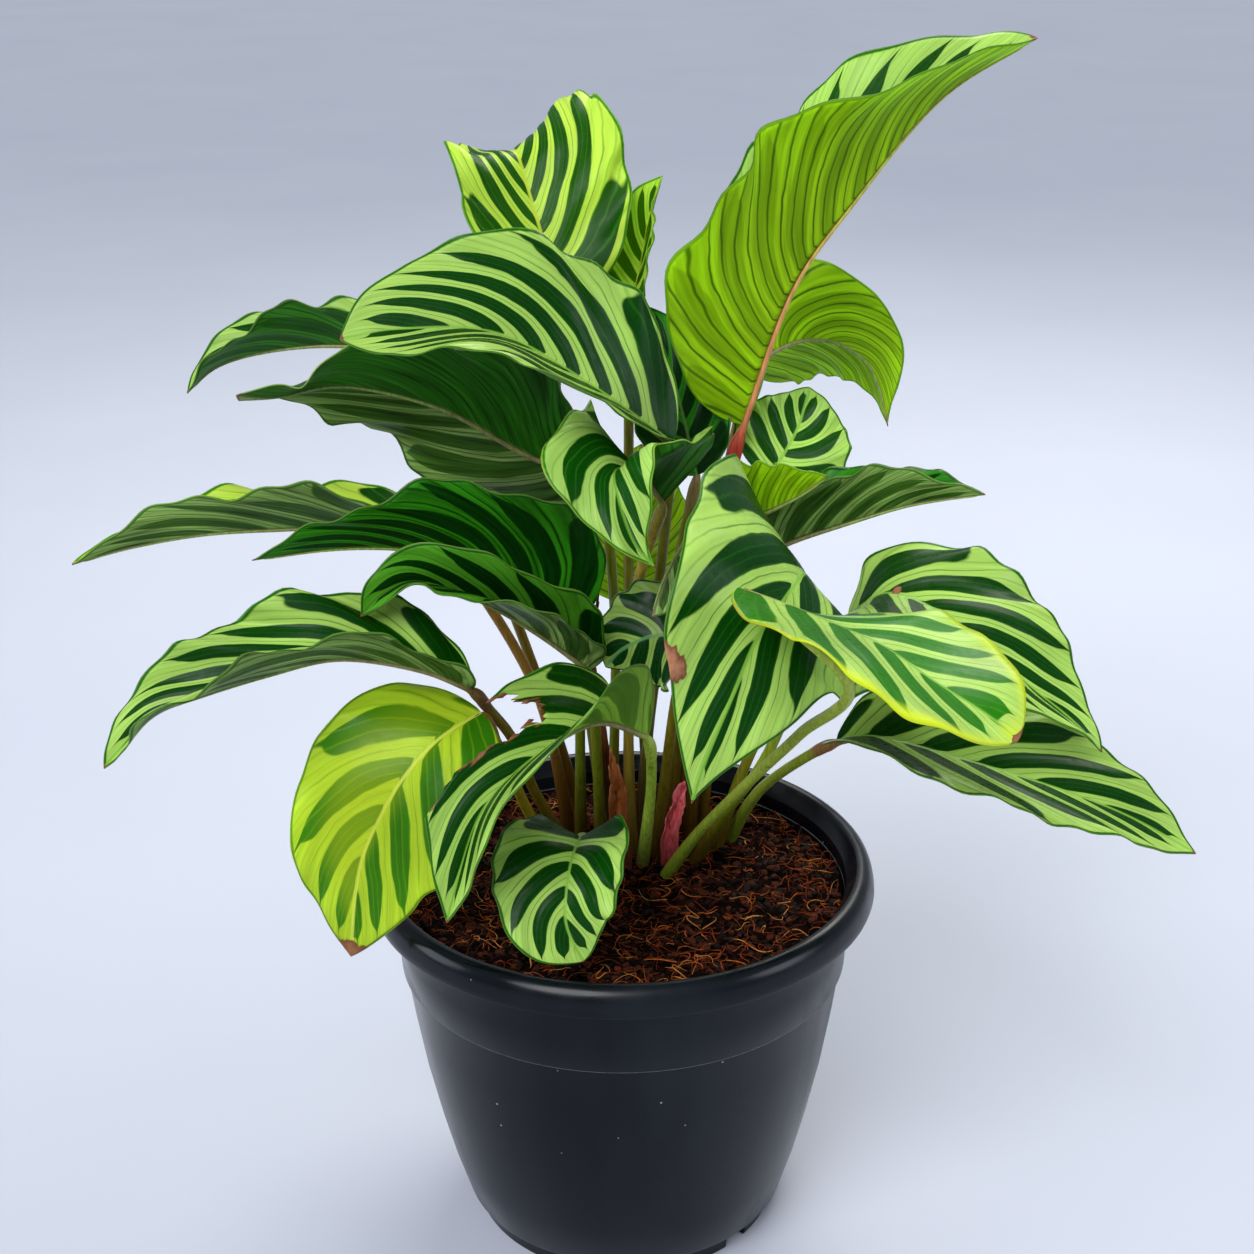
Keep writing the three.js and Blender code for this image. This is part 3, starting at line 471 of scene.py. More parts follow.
def leafSkin(name, values):
    # Living leaf: a waxy cuticle over soft green tissue. The wax gives broad cool highlights,
    # the tissue lets light through, and the side veins carry the stripes.
    skin = dict(zip(skinKeys, values))
    material, add, place = newMaterial("waxyLeaf" + name.capitalize())
    grown = {
        k: add("Attribute", attribute_name=k).outputs["Fac"]
        for k in ("band", "side", "fromRib", "fromEdge", "ageing", "scorch", "shaded")
    }
    sway, grain, cloud = (
        add("TexNoise", {"Vector": place, "Scale": scale, "Detail": detail})
        for scale, detail in ((55.0, 2.0), (420.0, 3.0), (22.0, 1.0))  # swells of 18, 2.4 and 45 mm
    )
    # stripes: beat is 0 in the middle of a dark stripe and 0.5 in the middle of a pale one
    wander = add("Math", [sway, 0.18, grown["band"]], operation="MULTIPLY_ADD")
    beat = add("Math", [wander, 0.5], operation="PINGPONG")
    reach = add("Math", [sway, 0.08, grown["side"]], operation="MULTIPLY_ADD")
    width = add("FloatCurve", {"Value": reach})
    curve = width.mapping.curves[0]
    curve.points[0].location = (0.0, 0.1)
    curve.points[1].location = (1.0, 0.0)
    for x, y in ((0.06, 0.185), (0.18, 0.26), (0.4, 0.31), (0.64, 0.305), (0.8, 0.25), (0.9, 0.14), (0.96, 0.04)):
        curve.points.new(x, y - skin["share"])
    width.mapping.update()
    outer = add("Math", [width, 0.04], operation="ADD")
    pale = add("MapRange", [beat, width, outer], **smooth)
    # one dark side vein down the middle of each pale stripe, finer ones beside it
    vein = add("MapRange", [beat, 0.478, 0.494], **smooth)
    short = add("MapRange", [reach, 0.98, 0.8, 0.0, 0.6], **smooth)
    veinShown = add("Math", [vein, short], operation="MULTIPLY")
    many = add("Math", [wander, skin["lines"]], operation="MULTIPLY")
    comb = add("Math", [many, 0.5], operation="PINGPONG")
    threads = add("MapRange", [comb, 0.37, 0.48, 0.0, skin["fine"]], **smooth)
    # tissue is drawn out along the side veins, in streaks
    onLeaf = add("CombineXYZ", [grown["band"], grown["side"]])
    drawn = add("Mapping", {"Vector": onLeaf, "Scale": (7.0, 1.6, 1.0)})
    strand = add("TexNoise", {"Vector": drawn, "Scale": 1.0, "Detail": 3.0})
    strandTone = add("MapRange", [strand, 0.3, 0.7, 1 - skin["streak"], 1 + skin["streak"]])
    # green margin 1 mm wide, a pale thread of edge, the midrib; tone drifts over the leaf, old tissue yellows
    margin = add("MapRange", [grown["fromEdge"], 1.4 * mm, 0.75 * mm], **smooth)
    thread = add("MapRange", [grown["fromEdge"], 0.5 * mm, 0.15 * mm, 0.0, 0.6], **smooth)
    onRib = add("MapRange", [grown["fromRib"], 1.0 * mm, 0.35 * mm, 0.0, 0.85], **smooth)
    drift = add("MapRange", [cloud, 0.3, 0.7, 0.84, 1.14])
    # dead tissue is brown with a dark rim
    dying = add("Math", [grain, 0.35, grown["scorch"]], operation="MULTIPLY_ADD")
    dead = add("ValToRGB", {"Fac": dying})
    ramp = dead.color_ramp
    ramp.elements[0].position, ramp.elements[0].color = 0.5, hexColour("#5c2410")
    ramp.elements[1].position, ramp.elements[1].color = 1.0, hexColour("#cc8f6c")
    gone = add("MapRange", [dying, 0.5, 0.6], **smooth)

    # each colour is laid over the last by its share; a tone with no colour brightens or darkens
    colour = skin["dark"]
    for share, over in (
        (pale, skin["pale"]), (grown["shaded"], skin["shade"]), (threads, skin["line"]), (veinShown, skin["line"]),
        (strandTone, None), (margin, skin["margin"]), (thread, skin["edge"]), (onRib, skin["rib"]), (drift, None),
        (grown["ageing"], "#dcea2c"), (gone, dead),
    ):
        if over is None:
            colour = add("HueSaturation", {"Value": share, "Color": colour})
        else:
            colour = add("Mix", [share, colour, over], data_type="RGBA")
    shine = add("MapRange", [grain, 0.3, 0.75, skin["rough"] - 0.04, skin["rough"] + 0.14])
    relief = add("Math", [grain, 0.4, comb], operation="MULTIPLY_ADD")
    bump = add("Bump", {"Strength": 0.35, "Distance": 0.12 * mm, "Height": relief})
    surface = add("BsdfPrincipled", {
        "Base Color": colour, "Roughness": shine, "IOR": 1.45, "Specular IOR Level": 0.16, "Normal": bump,
    })
    lit = add("Mix", [0.45, colour, skin["through"]], data_type="RGBA")
    through = add("BsdfTranslucent", {"Color": lit})
    add("OutputMaterial", {"Surface": add("MixShader", [skin["glow"], surface, through])})
    return material


def stalkSkin():
    # Fleshy leaf stalk: smooth, moist and finely ribbed lengthwise, its colour carried along it.
    material, add, place = newMaterial("fleshyStalk")
    tint = add("Attribute", attribute_name="tint").outputs["Color"]
    drawn = add("Mapping", {"Vector": place, "Scale": (900.0, 900.0, 60.0)})
    streak = add("TexNoise", {"Vector": drawn, "Scale": 1.0, "Detail": 2.0})  # 1 mm across, 17 mm long
    fleck = add("TexNoise", {"Vector": place, "Scale": 260.0, "Detail": 2.0})  # 4 mm
    shade = add("MapRange", [streak, 0.3, 0.7, 0.72, 1.2])
    toned = add("HueSaturation", {"Value": shade, "Color": tint})
    spotted = add("MapRange", [fleck, 0.66, 0.74, 0.0, 0.5], **smooth)
    colour = add("Mix", [spotted, toned, "#3a2414"], data_type="RGBA")
    bump = add("Bump", {"Strength": 0.4, "Distance": 0.15 * mm, "Height": streak})
    surface = add("BsdfPrincipled", {
        "Base Color": colour, "Roughness": 0.38, "Specular IOR Level": 0.25, "Normal": bump,
    })
    add("OutputMaterial", {"Surface": surface})
    return material


skinMaterials = {name: leafSkin(name, values) for name, values in skins.items()}
stalkMaterial = stalkSkin()
print("leaf materials ready")


# Blades and stalks


def addSheet(columns, rows):
    # a grid whose x and y run from -1 to 1, to be laid along a rib or wrapped round a path
    bpy.ops.object.select_all(action="DESELECT")
    bpy.ops.mesh.primitive_grid_add(x_subdivisions=columns, y_subdivisions=rows, size=2)
    piece = bpy.context.active_object
    flat = np.zeros(len(piece.data.vertices) * 3)
    piece.data.vertices.foreach_get("co", flat)
    flat = flat.reshape(-1, 3)
    return piece, flat[:, 0].copy(), flat[:, 1].copy()


def laySheet(piece, places):
    piece.data.vertices.foreach_set("co", (places * mm).ravel())
    piece.data.update()


def blended(colours, shares):
    # the first colour, with each next one laid over it by its share at every point
    first, *others = (np.array(hexColour(colour)) for colour in colours)
    tint = first
    for colour, share in zip(others, shares):
        tint = tint + (colour - tint) * share[:, None]
    return tint


def writeTint(piece, colours):
    tint = piece.data.color_attributes.new("tint", "FLOAT_COLOR", "POINT")
    tint.data.foreach_set("color", np.asarray(colours, np.float32).ravel())


def pick(*pieces):
    # selects these alone, the last one active
    bpy.ops.object.select_all(action="DESELECT")
    for piece in pieces:
        piece.select_set(True)
    bpy.context.view_layer.objects.active = pieces[-1]


def mergeDoubles(piece, outward=False):
    pick(piece)
    bpy.ops.object.mode_set(mode="EDIT")
    bpy.ops.mesh.select_all(action="SELECT")
    bpy.ops.mesh.remove_doubles(threshold=0.02 * mm)
    if outward:
        bpy.ops.mesh.normals_make_consistent(inside=False)
    bpy.ops.object.mode_set(mode="OBJECT")


def cutAway(piece, lost):
    for part in (piece.data.polygons, piece.data.edges):
        part.foreach_set("select", np.zeros(len(part), bool))
    piece.data.vertices.foreach_set("select", lost)
    bpy.ops.object.mode_set(mode="EDIT")
    bpy.ops.mesh.delete(type="VERT")
    bpy.ops.object.mode_set(mode="OBJECT")


def thicken(piece, thickness, underside=0):
    # underside: how many material slots further on the lower face's material is
    pick(piece)
    shell = piece.modifiers.new("thickness", "SOLIDIFY")
    shell.thickness = thickness * mm
    shell.offset = 0
    shell.material_offset = underside
    bpy.ops.object.modifier_apply(modifier=shell.name)


bladePlan = {
    "columns": 44, "rows": 96, "crowd": 1.45,  # how much closer the rows stand at the base
    "thickness": 0.5, "thinned": 0.85,  # mm; how far the dark stripes thin out at the tip
    "paleTip": (0.84, 0.97), "brownTip": (0.97, 1.0),  # where along the leaf
}


def makeBlade(leaf, rib):
    piece, x, y = addSheet(int(bladePlan["columns"] * fine), int(bladePlan["rows"] * fine))
    a = ((y + 1) / 2) ** bladePlan["crowd"]
    places, out, inward, vein, run = bladePlaces(leaf, rib, a, x)
    laySheet(piece, places)
    scorch = 0.5 * ease(run, *bladePlan["brownTip"])

    def spots(values, rows, low, high):
        for atRun, atV, wideRun, wideV, much in rows:
            far = np.hypot((run - atRun) / wideRun, (x - atV) / wideV)
            values = np.maximum(values, much * (1 - ease(far, low, high)))
        return values

    scorch = spots(scorch, leaf["burns"], 0.5, 1.2)
    if leaf["tear"]:
        # a piece of the edge is missing, with a ragged brown border
        atA, atV, wideA, wideV = leaf["tear"]
        torn = np.hypot((a - atA) / wideA, (x - atV) / wideV)
        torn = torn + 0.12 * np.sin(61 * a + 23 * x) + 0.08 * np.sin(140 * a - 57 * x)
        scorch = np.maximum(scorch, 0.5 * (1 - ease(torn, 1.1, 1.35)))
    grown = {
        "band": beats(leaf, vein, np.where(np.abs(x) < 1e-6, 0, x)) + 20,  # kept above 0
        # dark stripes thin out before they reach the tip, which stays pale
        "side": 1 - (1 - np.abs(x)) * (1 - bladePlan["thinned"] * ease(run, *bladePlan["paleTip"])),
        "fromRib": out * mm, "fromEdge": inward * mm,
        "ageing": spots(np.zeros_like(a), leaf["yellowing"], 0.3, 1), "scorch": scorch,
        # shaded: painted shade, the chosen half takes the skin's shade colour for the light that falls differently on
        # the two halves
        "shaded": np.where(x < 0, *leaf["shadedHalf"]) * ease(np.abs(x), 0.0, 0.05),
    }
    for name, values in grown.items():
        written = piece.data.attributes.new(name, "FLOAT", "POINT")
        written.data.foreach_set("value", np.asarray(values, np.float32))
    if leaf["tear"]:
        cutAway(piece, torn < 1)
    mergeDoubles(piece)
    for skin in (leaf["top"], leaf["under"]):
        piece.data.materials.append(skinMaterials[skin])
    thicken(piece, bladePlan["thickness"], underside=1)
    return piece


stalkPlan = {
    "sides": 14, "rowEvery": 3.2, "depth": 16, "soil": 148,  # mm; it starts this deep below the soil
    # radii at the foot, in the middle, and where the midrib starts and ends under the blade
    "foot": 2.9, "middle": 2.15, "ribStart": 1.25, "ribEnd": 0.25,
    "taper": (16, 75), "sinks": 9,  # mm over which the foot thins out, and the top goes under the blade
}


def ribRadius(t):
    return stalkPlan["ribStart"] + (stalkPlan["ribEnd"] - stalkPlan["ribStart"]) * t**0.7


def stalkPath(leaf, rib):
    # from the soil through the given points to the blade's base
    x, y = leaf["root"]
    foot = np.array([x, y, stalkPlan["soil"] - 4.0])
    base = np.array(leaf["rib"][0], float)
    via = [np.array(p, float) for p in leaf["via"]]
    if not via:  # it starts steeply and leans out half way up
        rise = base - foot
        via = [foot + rise * 0.5 - np.array([rise[0], rise[1], 0]) * 0.15]
    lean = unit(via[0] - foot)
    arrival = unit(base - via[-1])
    inside = rib.point(np.array(0.05))
    if arrival @ rib.lead < 0:
        inside = base + arrival
    points = [foot + lean * (4 - stalkPlan["depth"]), foot, *via, base, inside]
    return smoothPath(points, 24)[:-24]


def ringFrames(path):
    # two directions across the path at each of its points, carried along without twist
    ahead = unit(np.gradient(path, axis=0))
    across = [unit(np.cross(ahead[0], [0.3, 1.0, 0.2]))]
    for d in ahead[1:]:
        across.append(unit(across[-1] - d * (across[-1] @ d)))
    across = np.array(across)
    return across, np.cross(ahead, across)


def wrapTube(path, radius, columns, rows):
    # a grid wrapped round the path and closed at both ends
    run = pathLength(path)
    piece, x, y = addSheet(columns, rows)
    s = (y + 1) / 2 * run[-1]
    middle, across, beside = (
        np.stack([np.interp(s, run, table[:, k]) for k in range(3)], -1) for table in (path, *ringFrames(path))
    )
    turn = np.pi * (x + 1)[..., None]
    r = np.where(np.abs(y) > 0.9999, 0, radius(s))[..., None]
    laySheet(piece, middle + r * (across * np.cos(turn) + beside * np.sin(turn)))
    return piece, s


def makeStalk(leaf, rib):
    way = stalkPath(leaf, rib)
    up = facing(leaf, rib, np.array([0.02]))[1][0]
    run = pathLength(way)
    reach, span = run[-1], leaf["jointSpan"]
    # the stalk sinks under the blade and goes on as its midrib
    way = way - up * (stalkPlan["ribStart"] * ease(run, reach - stalkPlan["sinks"], reach))[:, None]
    t = np.linspace(0.01, 0.97, 60)
    under = rib.point(t) - facing(leaf, rib, t)[1] * (ribRadius(t) + 0.1)[:, None]
    path = np.vstack([way, under])
    for _ in range(3):  # eases the bend at the joint
        path[1:-1] = path[1:-1] * 0.5 + (path[:-2] + path[2:]) * 0.25

    def radius(s):
        grown = stalkPlan["middle"] + (stalkPlan["foot"] - stalkPlan["middle"]) * (1 - ease(s, *stalkPlan["taper"]))
        swollen = leaf["jointSize"] - stalkPlan["middle"]
        grown += swollen * ease(s, reach - span - 5, reach - span) * (1 - ease(s, reach - 0.4 * span, reach))
        rest = ribRadius(np.clip((s - reach) / rib.length, 0, 1))
        return grown + (rest - grown) * ease(s, reach - 6, reach + 2)

    rows = int((30 + (reach + rib.length) / stalkPlan["rowEvery"]) * fine)
    piece, s = wrapTube(path, radius, stalkPlan["sides"], rows)
    shares = (
        ease(s, 16, 0.55 * reach), ease(s, reach - span - 6, reach - span) * 0.9,
        ease(s, reach - 0.3 * span, reach + 12), ease((s - reach) / rib.length, 0.15, 0.65),
    )
    writeTint(piece, blended(leaf["stem"] + leaf["ribTints"], shares))
    mergeDoubles(piece, outward=True)
    piece.data.materials.append(stalkMaterial)
    return piece


def makeLeaf(node, leaf):
    rib = Rib(leaf["rib"])
    stalk = makeStalk(leaf, rib)
    blade = makeBlade(leaf, rib)
    pick(stalk, blade)
    bpy.ops.object.join()
    bpy.ops.object.shade_smooth()
    rideAs(blade, pieceName(node), leaf["slot"], node)


for node, leaf in leaves.items():
    makeLeaf(node, {**plainLeaf, **leaf})
print("leaves ready", len(leaves))


# Sheaths and bract at the foot

plainSheath = {
    "shape": [0.35, 0.7], "wave": [0, 1, 0], "face": [(0, -1, 0.2), (0, -1, 0.2)],
    "pleat": 0.25, "ripple": 0, "scallop": 0, "bands": 3, "step": 0, "slot": "dry_sheath",
    "columns": 14, "rows": 56, "thickness": 0.5,
}
sheathPlan = {
    "sheath_red": {
        "rib": [(-1, 30, 136), (-5, 26, 180), (-12, 17, 245), (-8, 12, 276)], "width": 8,
        "fold": [[35, 35], [35, 35]], "curl": [30, 30], "crumple": 0.8, "tints": ["#46300c", "#8a4a20", "#c84a30"],
    },
    "sheath_papery": {
        "rib": [(0, 14, 136), (-1, 12, 165), (-2, 9, 190), (-4, 7, 209)], "width": 12, "shape": [0.3, 0.6],
        "fold": [[30, 30], [30, 30]], "curl": [20, 20], "crumple": 1.3, "tints": ["#4a220e", "#9c5420", "#c07a38"],
    },
    "bract_pink": {
        "rib": [(20, 20, 136), (20, 18, 160), (23, 16, 178), (26, 14, 191)], "width": 11, "shape": [0.3, 0.45],
        "fold": [[40, 40], [40, 40]], "curl": [25, 10], "crumple": 1.9, "tints": ["#8a2c30", "#ea6a70", "#cc4a50"],
        "slot": "pink_bract",
    },
}


def dryLeafSkin():
    # Dried sheath: thin, papery and crumpled, split along its veins, dull with a faint skin shine.
    material, add, place = newMaterial("driedPaperySheath")
    tint = add("Attribute", attribute_name="tint").outputs["Color"]
    drawn = add("Mapping", {"Vector": place, "Scale": (1100.0, 1100.0, 70.0)})
    fibre = add("TexNoise", {"Vector": drawn, "Scale": 1.0, "Detail": 3.0})  # 0.9 mm fibres
    crumple = add("TexNoise", {"Vector": place, "Scale": 240.0, "Detail": 3.0})  # 4 mm
    shade = add("MapRange", [fibre, 0.3, 0.7, 0.6, 1.3])
    toned = add("HueSaturation", {"Value": shade, "Color": tint})
    height = add("Math", [fibre, crumple], operation="ADD")
    bump = add("Bump", {"Strength": 0.7, "Distance": 0.4 * mm, "Height": height})
    surface = add("BsdfPrincipled", {"Base Color": toned, "Roughness": 0.55, "Normal": bump})
    add("OutputMaterial", {"Surface": surface})
    return material


sheathMaterial = dryLeafSkin()


def makeSheath(node, leaf):
    piece, x, y = addSheet(leaf["columns"], int(leaf["rows"] * fine))
    a = (y + 1) / 2
    places = bladePlaces(leaf, Rib(leaf["rib"]), a, x)[0]
    # folds 8 mm and 3 mm apart, growing from the foot up
    folds = [noise.noise_vector(Vector(p * 0.13)) + 0.6 * noise.noise_vector(Vector(p * 0.37)) for p in places]
    laySheet(piece, places + np.array(folds) * (leaf["crumple"] * ease(a, 0.1, 0.5))[:, None])
    writeTint(piece, blended(leaf["tints"], (ease(a, 0.05, 0.6), ease(a, 0.75, 1))))
    mergeDoubles(piece)
    thicken(piece, leaf["thickness"])
    piece.data.materials.append(sheathMaterial)
    bpy.ops.object.shade_smooth()
    rideAs(piece, pieceName(node), leaf["slot"], node)


for node, plan in sheathPlan.items():
    makeSheath(node, {**plainLeaf, **plainSheath, **plan})
print("sheaths ready")


# Pot

potPlan = {
    "steps": 144, "start": 12,  # radius in mm of the flat pad under the floor
    # radius and height, mm: under the floor, foot ring, side, step line, flange, rolled rim, inside
    "profile": [
        (13, 6), (61, 6), (61.6, 0.7), (62.2, 0), (64.6, 0), (65.1, 0.6), (66, 8), (66.3, 8.7), (69.2, 9.1),
        (69.9, 10.2), (75.8, 30.4), (80.3, 49), (85.5, 74), (89.5, 99), (92.1, 118.2), (92.3, 119), (93.2, 119.5),
        (93.7, 120.3), (94.6, 135), (95.3, 148.4), (95.7, 149.8), (96.6, 150.3), (103.2, 150.5), (104.6, 151),
        (105, 152.2), (104.9, 154.5), (104.3, 157.6), (103.4, 160.2), (102, 161.9), (100.4, 162.8), (98.8, 163),
        (97.6, 162.5), (96.8, 161.2), (96.2, 159.5), (93.4, 156), (90.2, 118), (83.5, 74), (73.8, 30.4),
        (68.4, 10.5), (66, 8.6),
    ],
    "notches": 6, "notchSize": (14, 12, 10), "notchRadius": 64, "firstNotch": -104,
    "dustAt": (119.6, 150.1),
}


def potPlastic():
    # Polypropylene, injection moulded in black: satin, a little waxy, dusted over, with painted streaks of bluish
    # sheen in its colour.
    material, add, place = newMaterial("mouldedBlackPolypropylene")
    texture = add("TexNoise", {"Vector": place, "Scale": 1400.0, "Detail": 2.0})  # 0.7 mm
    drawn = add("Mapping", {"Vector": place, "Scale": (30.0, 30.0, 4.0)})
    dustFilmAndSheen = add("TexNoise", {"Vector": drawn, "Scale": 1.0, "Detail": 2.5})  # streaks 33 mm wide, drawn downwards
    cells = add("TexVoronoi", {"Vector": place, "Scale": 125.0})  # a speck in each 8 mm
    speck = add("MapRange", [cells.outputs["Distance"], 0.07, 0.03], **smooth)
    picked = add("SeparateColor", [cells.outputs["Color"]])
    some = add("Math", [picked.outputs[0], 0.6], operation="GREATER_THAN")
    dust = add("Math", [speck, some], operation="MULTIPLY")
    # painted sheen: the long streaks lay a bluish grey over the black base colour, dust and a painted reflection of
    # soft vertical highlights in one
    dustAndSheenVeil = add("MapRange", [dustFilmAndSheen, 0.4, 0.75, 0.0, 0.035])
    dustAndSheenBase = add("Mix", [dustAndSheenVeil, "#03060b", "#5a6880"], data_type="RGBA")
    # dust caught on the step line and under the rim flange, 0.5 mm high
    height = add("SeparateXYZ", [place]).outputs[2]
    caught = []
    for level in potPlan["dustAt"]:
        away = add("Math", [height, level * mm, 0.28 * mm], operation="COMPARE")
        caught.append(add("Math", [away, texture], operation="MULTIPLY"))
    lines = add("Math", caught, operation="ADD")
    dusty = add("Math", [dust, lines], operation="MAXIMUM")
    colour = add("Mix", [dusty, dustAndSheenBase, "#8d8f92"], data_type="RGBA")
    rough = add("MapRange", [dustFilmAndSheen, 0.35, 0.7, 0.14, 0.36])
    bump = add("Bump", {"Strength": 0.15, "Distance": 0.08 * mm, "Height": texture})
    surface = add("BsdfPrincipled", {
        "Base Color": colour, "Roughness": rough, "IOR": 1.49, "Specular IOR Level": 0.23, "Normal": bump,
    })
    add("OutputMaterial", {"Surface": surface})
    return material


def makePot():
    r, z = potPlan["start"], 0
    bpy.ops.object.select_all(action="DESELECT")
    bpy.ops.mesh.primitive_circle_add(vertices=potPlan["steps"], radius=r * mm, fill_type="NGON")
    pot = bpy.context.active_object
    bpy.ops.object.mode_set(mode="EDIT")
    bpy.ops.mesh.select_all(action="SELECT")
    bpy.ops.mesh.region_to_loop()
    for nextR, nextZ in potPlan["profile"]:
        bpy.ops.mesh.extrude_region_move(TRANSFORM_OT_translate={"value": (0, 0, (nextZ - z) * mm)})
        k = nextR / r
        bpy.ops.transform.resize(value=(k, k, 1), center_override=(0, 0, 0))
        r, z = nextR, nextZ
    bpy.ops.mesh.edge_face_add()
    bpy.ops.mesh.select_all(action="SELECT")
    bpy.ops.mesh.normals_make_consistent(inside=False)
    bpy.ops.object.mode_set(mode="OBJECT")
    # drain notches through the foot ring
    cutters = []
    for i in range(potPlan["notches"]):
        turn = math.radians(potPlan["firstNotch"] + 360 / potPlan["notches"] * i)
        away = potPlan["notchRadius"] * mm
        bpy.ops.mesh.primitive_cube_add(
            size=1, location=(away * math.cos(turn), away * math.sin(turn), 0), rotation=(0, 0, turn),
            scale=[side * mm for side in potPlan["notchSize"]],
        )
        cutters.append(bpy.context.active_object)
    pick(*reversed(cutters))
    bpy.ops.object.join()
    cutter = bpy.context.active_object
    pick(pot)
    cut = pot.modifiers.new("notches", "BOOLEAN")
    cut.object = cutter
    cut.operation = "DIFFERENCE"
    cut.solver = "EXACT"
    bpy.ops.object.modifier_apply(modifier=cut.name)
    bpy.data.objects.remove(cutter)
    bpy.ops.object.shade_smooth_by_angle(angle=math.radians(32))
    pot.data.materials.clear()
    pot.data.materials.append(potPlastic())
    rideAs(pot, "nurseryPot", "pot", "pot")


makePot()
print("pot ready")


# Soil and what lies on it

soilPlan = {
    "level": 148, "lump": 1.2, "rough": 2.4, "edge": 92.55, "flat": (89, 92.5),  # mm; flat at the pot's side
    "columns": 200, "rows": 84, "top": 0.86,  # share of the rows that lie on top
    "side": [(92.4, 144), (89.9, 117.7), (83.1, 74), (73.4, 30.4), (68, 10.9), (0, 8.9)],
}


def soilHeight(x, y):
    lumps = np.sin(0.11 * x + 0.07 * y + 1) * np.cos(0.09 * y - 0.04 * x)
    lumps += 0.6 * np.sin(0.23 * x - 0.17 * y + 2) + 0.4 * np.cos(0.31 * y + 0.12 * x)
    return soilPlan["level"] + soilPlan["lump"] * lumps + 1.5 * np.exp(-((x - 8) ** 2 + (y - 34) ** 2) / 900)


def earthSkin():
    # Moist coir and bark mix: near black where wet, with rusty crumbs; rough enough to scatter all light.
    material, add, place = newMaterial("moistCoirMix")
    crumb = add("TexNoise", {"Vector": place, "Scale": 420.0, "Detail": 5.0})  # 2.4 mm
    patch = add("TexNoise", {"Vector": place, "Scale": 40.0, "Detail": 2.0})  # 25 mm
    colour = add("ValToRGB", {"Fac": add("Math", [patch, 0.4, crumb], operation="MULTIPLY_ADD")})
    ramp = colour.color_ramp
    ramp.elements[0].position, ramp.elements[0].color = 0.52, hexColour("#030101")
    ramp.elements[1].position, ramp.elements[1].color = 0.98, hexColour("#2e140a")
    ramp.elements.new(0.74).color = hexColour("#0c0403")
    bump = add("Bump", {"Strength": 0.9, "Distance": 0.9 * mm, "Height": crumb})
    surface = add("BsdfPrincipled", {
        "Base Color": colour, "Roughness": 0.9, "Specular IOR Level": 0.03, "Normal": bump,
    })
    add("OutputMaterial", {"Surface": surface})
    return material


def litterSkin():
    # Coir fibres and bark chips: dry, woody and matt, each with its own tint.
    material, add, place = newMaterial("coirFibreAndBark")
    tint = add("Attribute", attribute_name="tint").outputs["Color"]
    mottle = add("TexNoise", {"Vector": place, "Scale": 600.0, "Detail": 2.0})  # 1.7 mm
    shade = add("MapRange", [mottle, 0.3, 0.7, 0.65, 1.25])
    toned = add("HueSaturation", {"Value": shade, "Color": tint})
    surface = add("BsdfPrincipled", {"Base Color": toned, "Roughness": 0.75, "Specular IOR Level": 0.1})
    add("OutputMaterial", {"Surface": surface})
    return material


def makeSoil():
    piece, x, y = addSheet(int(soilPlan["columns"] * fine), int(soilPlan["rows"] * fine))
    turn, u = np.pi * (x + 1), (y + 1) / 2
    edge, top = soilPlan["edge"], soilPlan["top"]
    r = edge * np.minimum(u / top, 1) ** 0.9
    px, py = r * np.cos(turn), r * np.sin(turn)
    # lumps from 11 mm down
    rough = np.array([noise.fractal(Vector((a * 0.09, b * 0.09, 3.1)), 0.7, 2.1, 5) for a, b in zip(px, py)])
    z = soilHeight(px, py) + soilPlan["rough"] * rough * (1 - ease(r, *soilPlan["flat"]))
    table = np.array([(edge, soilPlan["level"])] + soilPlan["side"], float)
    below = np.clip((u - top) / (1 - top), 0, 1) * len(soilPlan["side"])
    low = u > top + 0.0001
    r = np.where(low, np.interp(below, range(len(table)), table[:, 0]), r)
    z = np.where(low, np.minimum(np.interp(below, range(len(table)), table[:, 1]), z), z)
    laySheet(piece, np.stack([r * np.cos(turn), r * np.sin(turn), z], -1))
    mergeDoubles(piece, outward=True)
    bpy.ops.object.shade_smooth()
    piece.data.materials.append(earthSkin())
    rideAs(piece, "coirSoil", "soil", "soil")


def template(kind):
    # a small shape made once: its points (unit size) and faces, then copied many times
    bpy.ops.object.select_all(action="DESELECT")
    if kind == "crumb":
        bpy.ops.mesh.primitive_ico_sphere_add(subdivisions=1, radius=1)
    elif kind == "chip":
        bpy.ops.mesh.primitive_cube_add(size=1)
        bpy.ops.object.mode_set(mode="EDIT")
        bpy.ops.mesh.select_all(action="SELECT")
        bpy.ops.mesh.bevel(offset=0.16, segments=1, affect="EDGES")
        bpy.ops.object.mode_set(mode="OBJECT")
    else:
        bpy.ops.mesh.primitive_grid_add(x_subdivisions=3, y_subdivisions=15, size=2)
    made = bpy.context.active_object
    points = np.array([v.co for v in made.data.vertices])
    faces = [tuple(f.vertices) for f in made.data.polygons]
    bpy.data.objects.remove(made)
    return points, faces


def turned(points, spin, tilt=0, roll=0):
    turn = Matrix.Rotation(spin, 3, "Z") @ Matrix.Rotation(tilt, 3, "X") @ Matrix.Rotation(roll, 3, "Y")
    return points @ np.array(turn).T


litterPlan = {
    "fibres": 1250, "chips": 340, "crumbs": 3000, "reach": 91.0, "limit": 91.5,  # mm from the middle
    "tints": ["#8a3e16", "#a85a22", "#6c2a0e", "#b87838", "#3c1a0a", "#1a0a05", "#0c0403"],
    "chipTints": [2, 4, 4, 5, 5, 6], "fibreTints": [0, 0, 1, 2, 2, 2, 3, 4, 4],
}


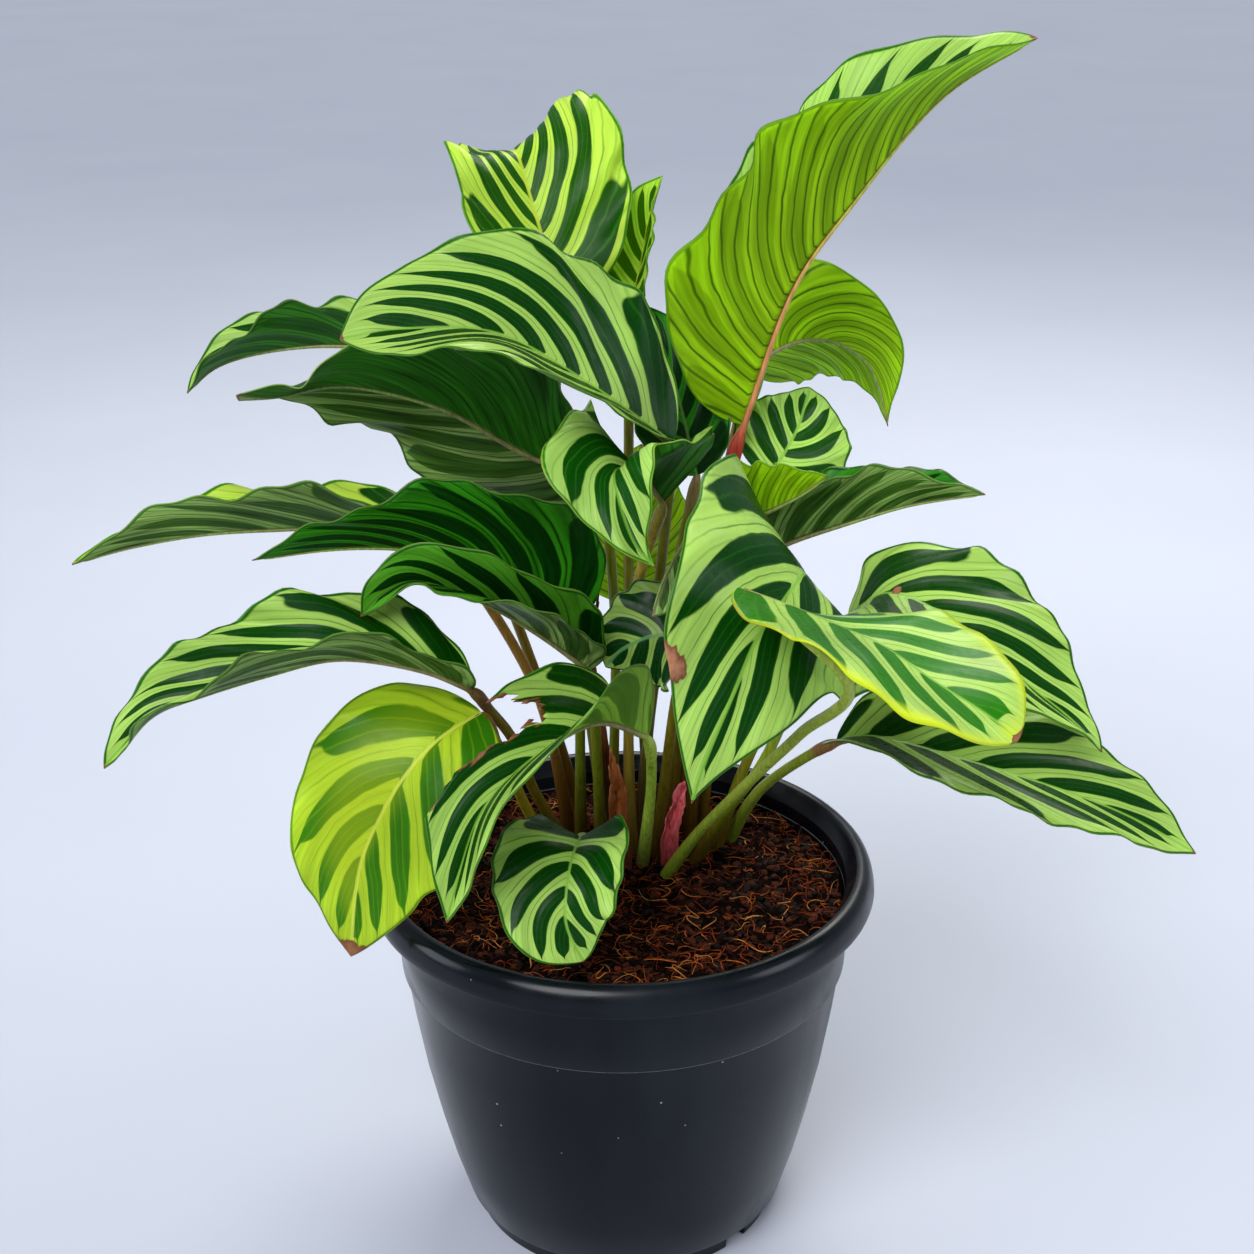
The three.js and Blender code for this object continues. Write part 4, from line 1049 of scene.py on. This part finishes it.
def fibreShape(thread):
    # a thread that wanders: its heading swings along its length
    length, swing = chance.uniform(5, 17) * chance.uniform(1, 1.9), chance.normal(0, 1.5)
    thick = chance.uniform(0.12, 0.3)
    s, course = thread[:, 1], np.linspace(-1, 1, 60)
    heading = swing * course + chance.uniform(0.3, 1.3) * np.sin(chance.uniform(2, 6) * course + chance.uniform(0, 6))
    track = np.cumsum(np.stack([np.cos(heading), np.sin(heading)], -1), axis=0) * length / 60
    track -= track.mean(0)
    run = [np.interp(s, course, track[:, k]) for k in (0, 1)]
    ringTurn = np.pi * (thread[:, 0] + 1)
    r = thick * (1 - 0.75 * np.abs(s) ** 3)
    curve = np.column_stack([*run, length * 0.06 * np.sin(3 * s + swing)])
    curve += np.stack([0 * s, r * np.cos(ringTurn), r * np.sin(ringTurn)], -1)
    return turned(curve, chance.uniform(0, 6.3), chance.normal(0, 0.3), chance.normal(0, 0.12))


def makeLitter():
    (crumb, crumbFaces), (chip, chipFaces), (thread, threadFaces) = map(template, ("crumb", "chip", "fibre"))
    places, faces, tints = [], [], []

    def put(points, shape, colour):
        start = sum(len(p) for p in places)
        places.append(points)
        faces.extend(tuple(i + start for i in f) for f in shape)
        tints.append(np.tile(hexColour(litterPlan["tints"][colour]), (len(points), 1)))

    def spot():
        r, turn = math.sqrt(chance.uniform(0, 1)) * litterPlan["reach"], chance.uniform(0, 2 * math.pi)
        return r * math.cos(turn), r * math.sin(turn)

    for _ in range(int(litterPlan["crumbs"] * fine)):
        x, y = spot()
        size = chance.uniform(0.5, 1.9) ** 1.2
        shape = crumb * chance.uniform(0.7, 1.3, crumb.shape) * size * [1, 1, 0.75]
        z = soilHeight(x, y) + chance.uniform(-0.6, 0.9)
        put(turned(shape, chance.uniform(0, 6)) + [x, y, z], crumbFaces, chance.integers(4, 7))
    for _ in range(int(litterPlan["chips"] * fine)):
        x, y = spot()
        size = [chance.uniform(1.5, 5.5), chance.uniform(1.0, 2.4), chance.uniform(0.4, 1.1)]
        shape = turned(chip * size, chance.uniform(0, 6), chance.normal(0, 0.35), chance.normal(0, 0.35))
        z = soilHeight(x, y) + chance.uniform(0.2, 1.4)
        put(shape + [x, y, z], chipFaces, chance.choice(litterPlan["chipTints"]))
    for _ in range(int(litterPlan["fibres"] * fine)):
        x, y = spot()
        shape = fibreShape(thread)
        held = shape + [x, y, soilHeight(x, y) + chance.uniform(0.3, 2.6)]
        # what would reach past the pot's side is drawn in
        over = np.maximum(np.hypot(held[:, 0], held[:, 1]) / litterPlan["limit"], 1)
        held[:, :2] /= over[:, None]
        put(held, threadFaces, chance.choice(litterPlan["fibreTints"]))
    mesh = bpy.data.meshes.new("coirLitter")
    mesh.from_pydata((np.vstack(places) * mm).tolist(), [], faces)
    piece = bpy.data.objects.new("coirLitter", mesh)
    bpy.context.scene.collection.objects.link(piece)
    writeTint(piece, np.vstack(tints))
    mesh.materials.append(litterSkin())
    rideAs(piece, "coirLitter", "soil")


makeSoil()
makeLitter()
print("soil ready")
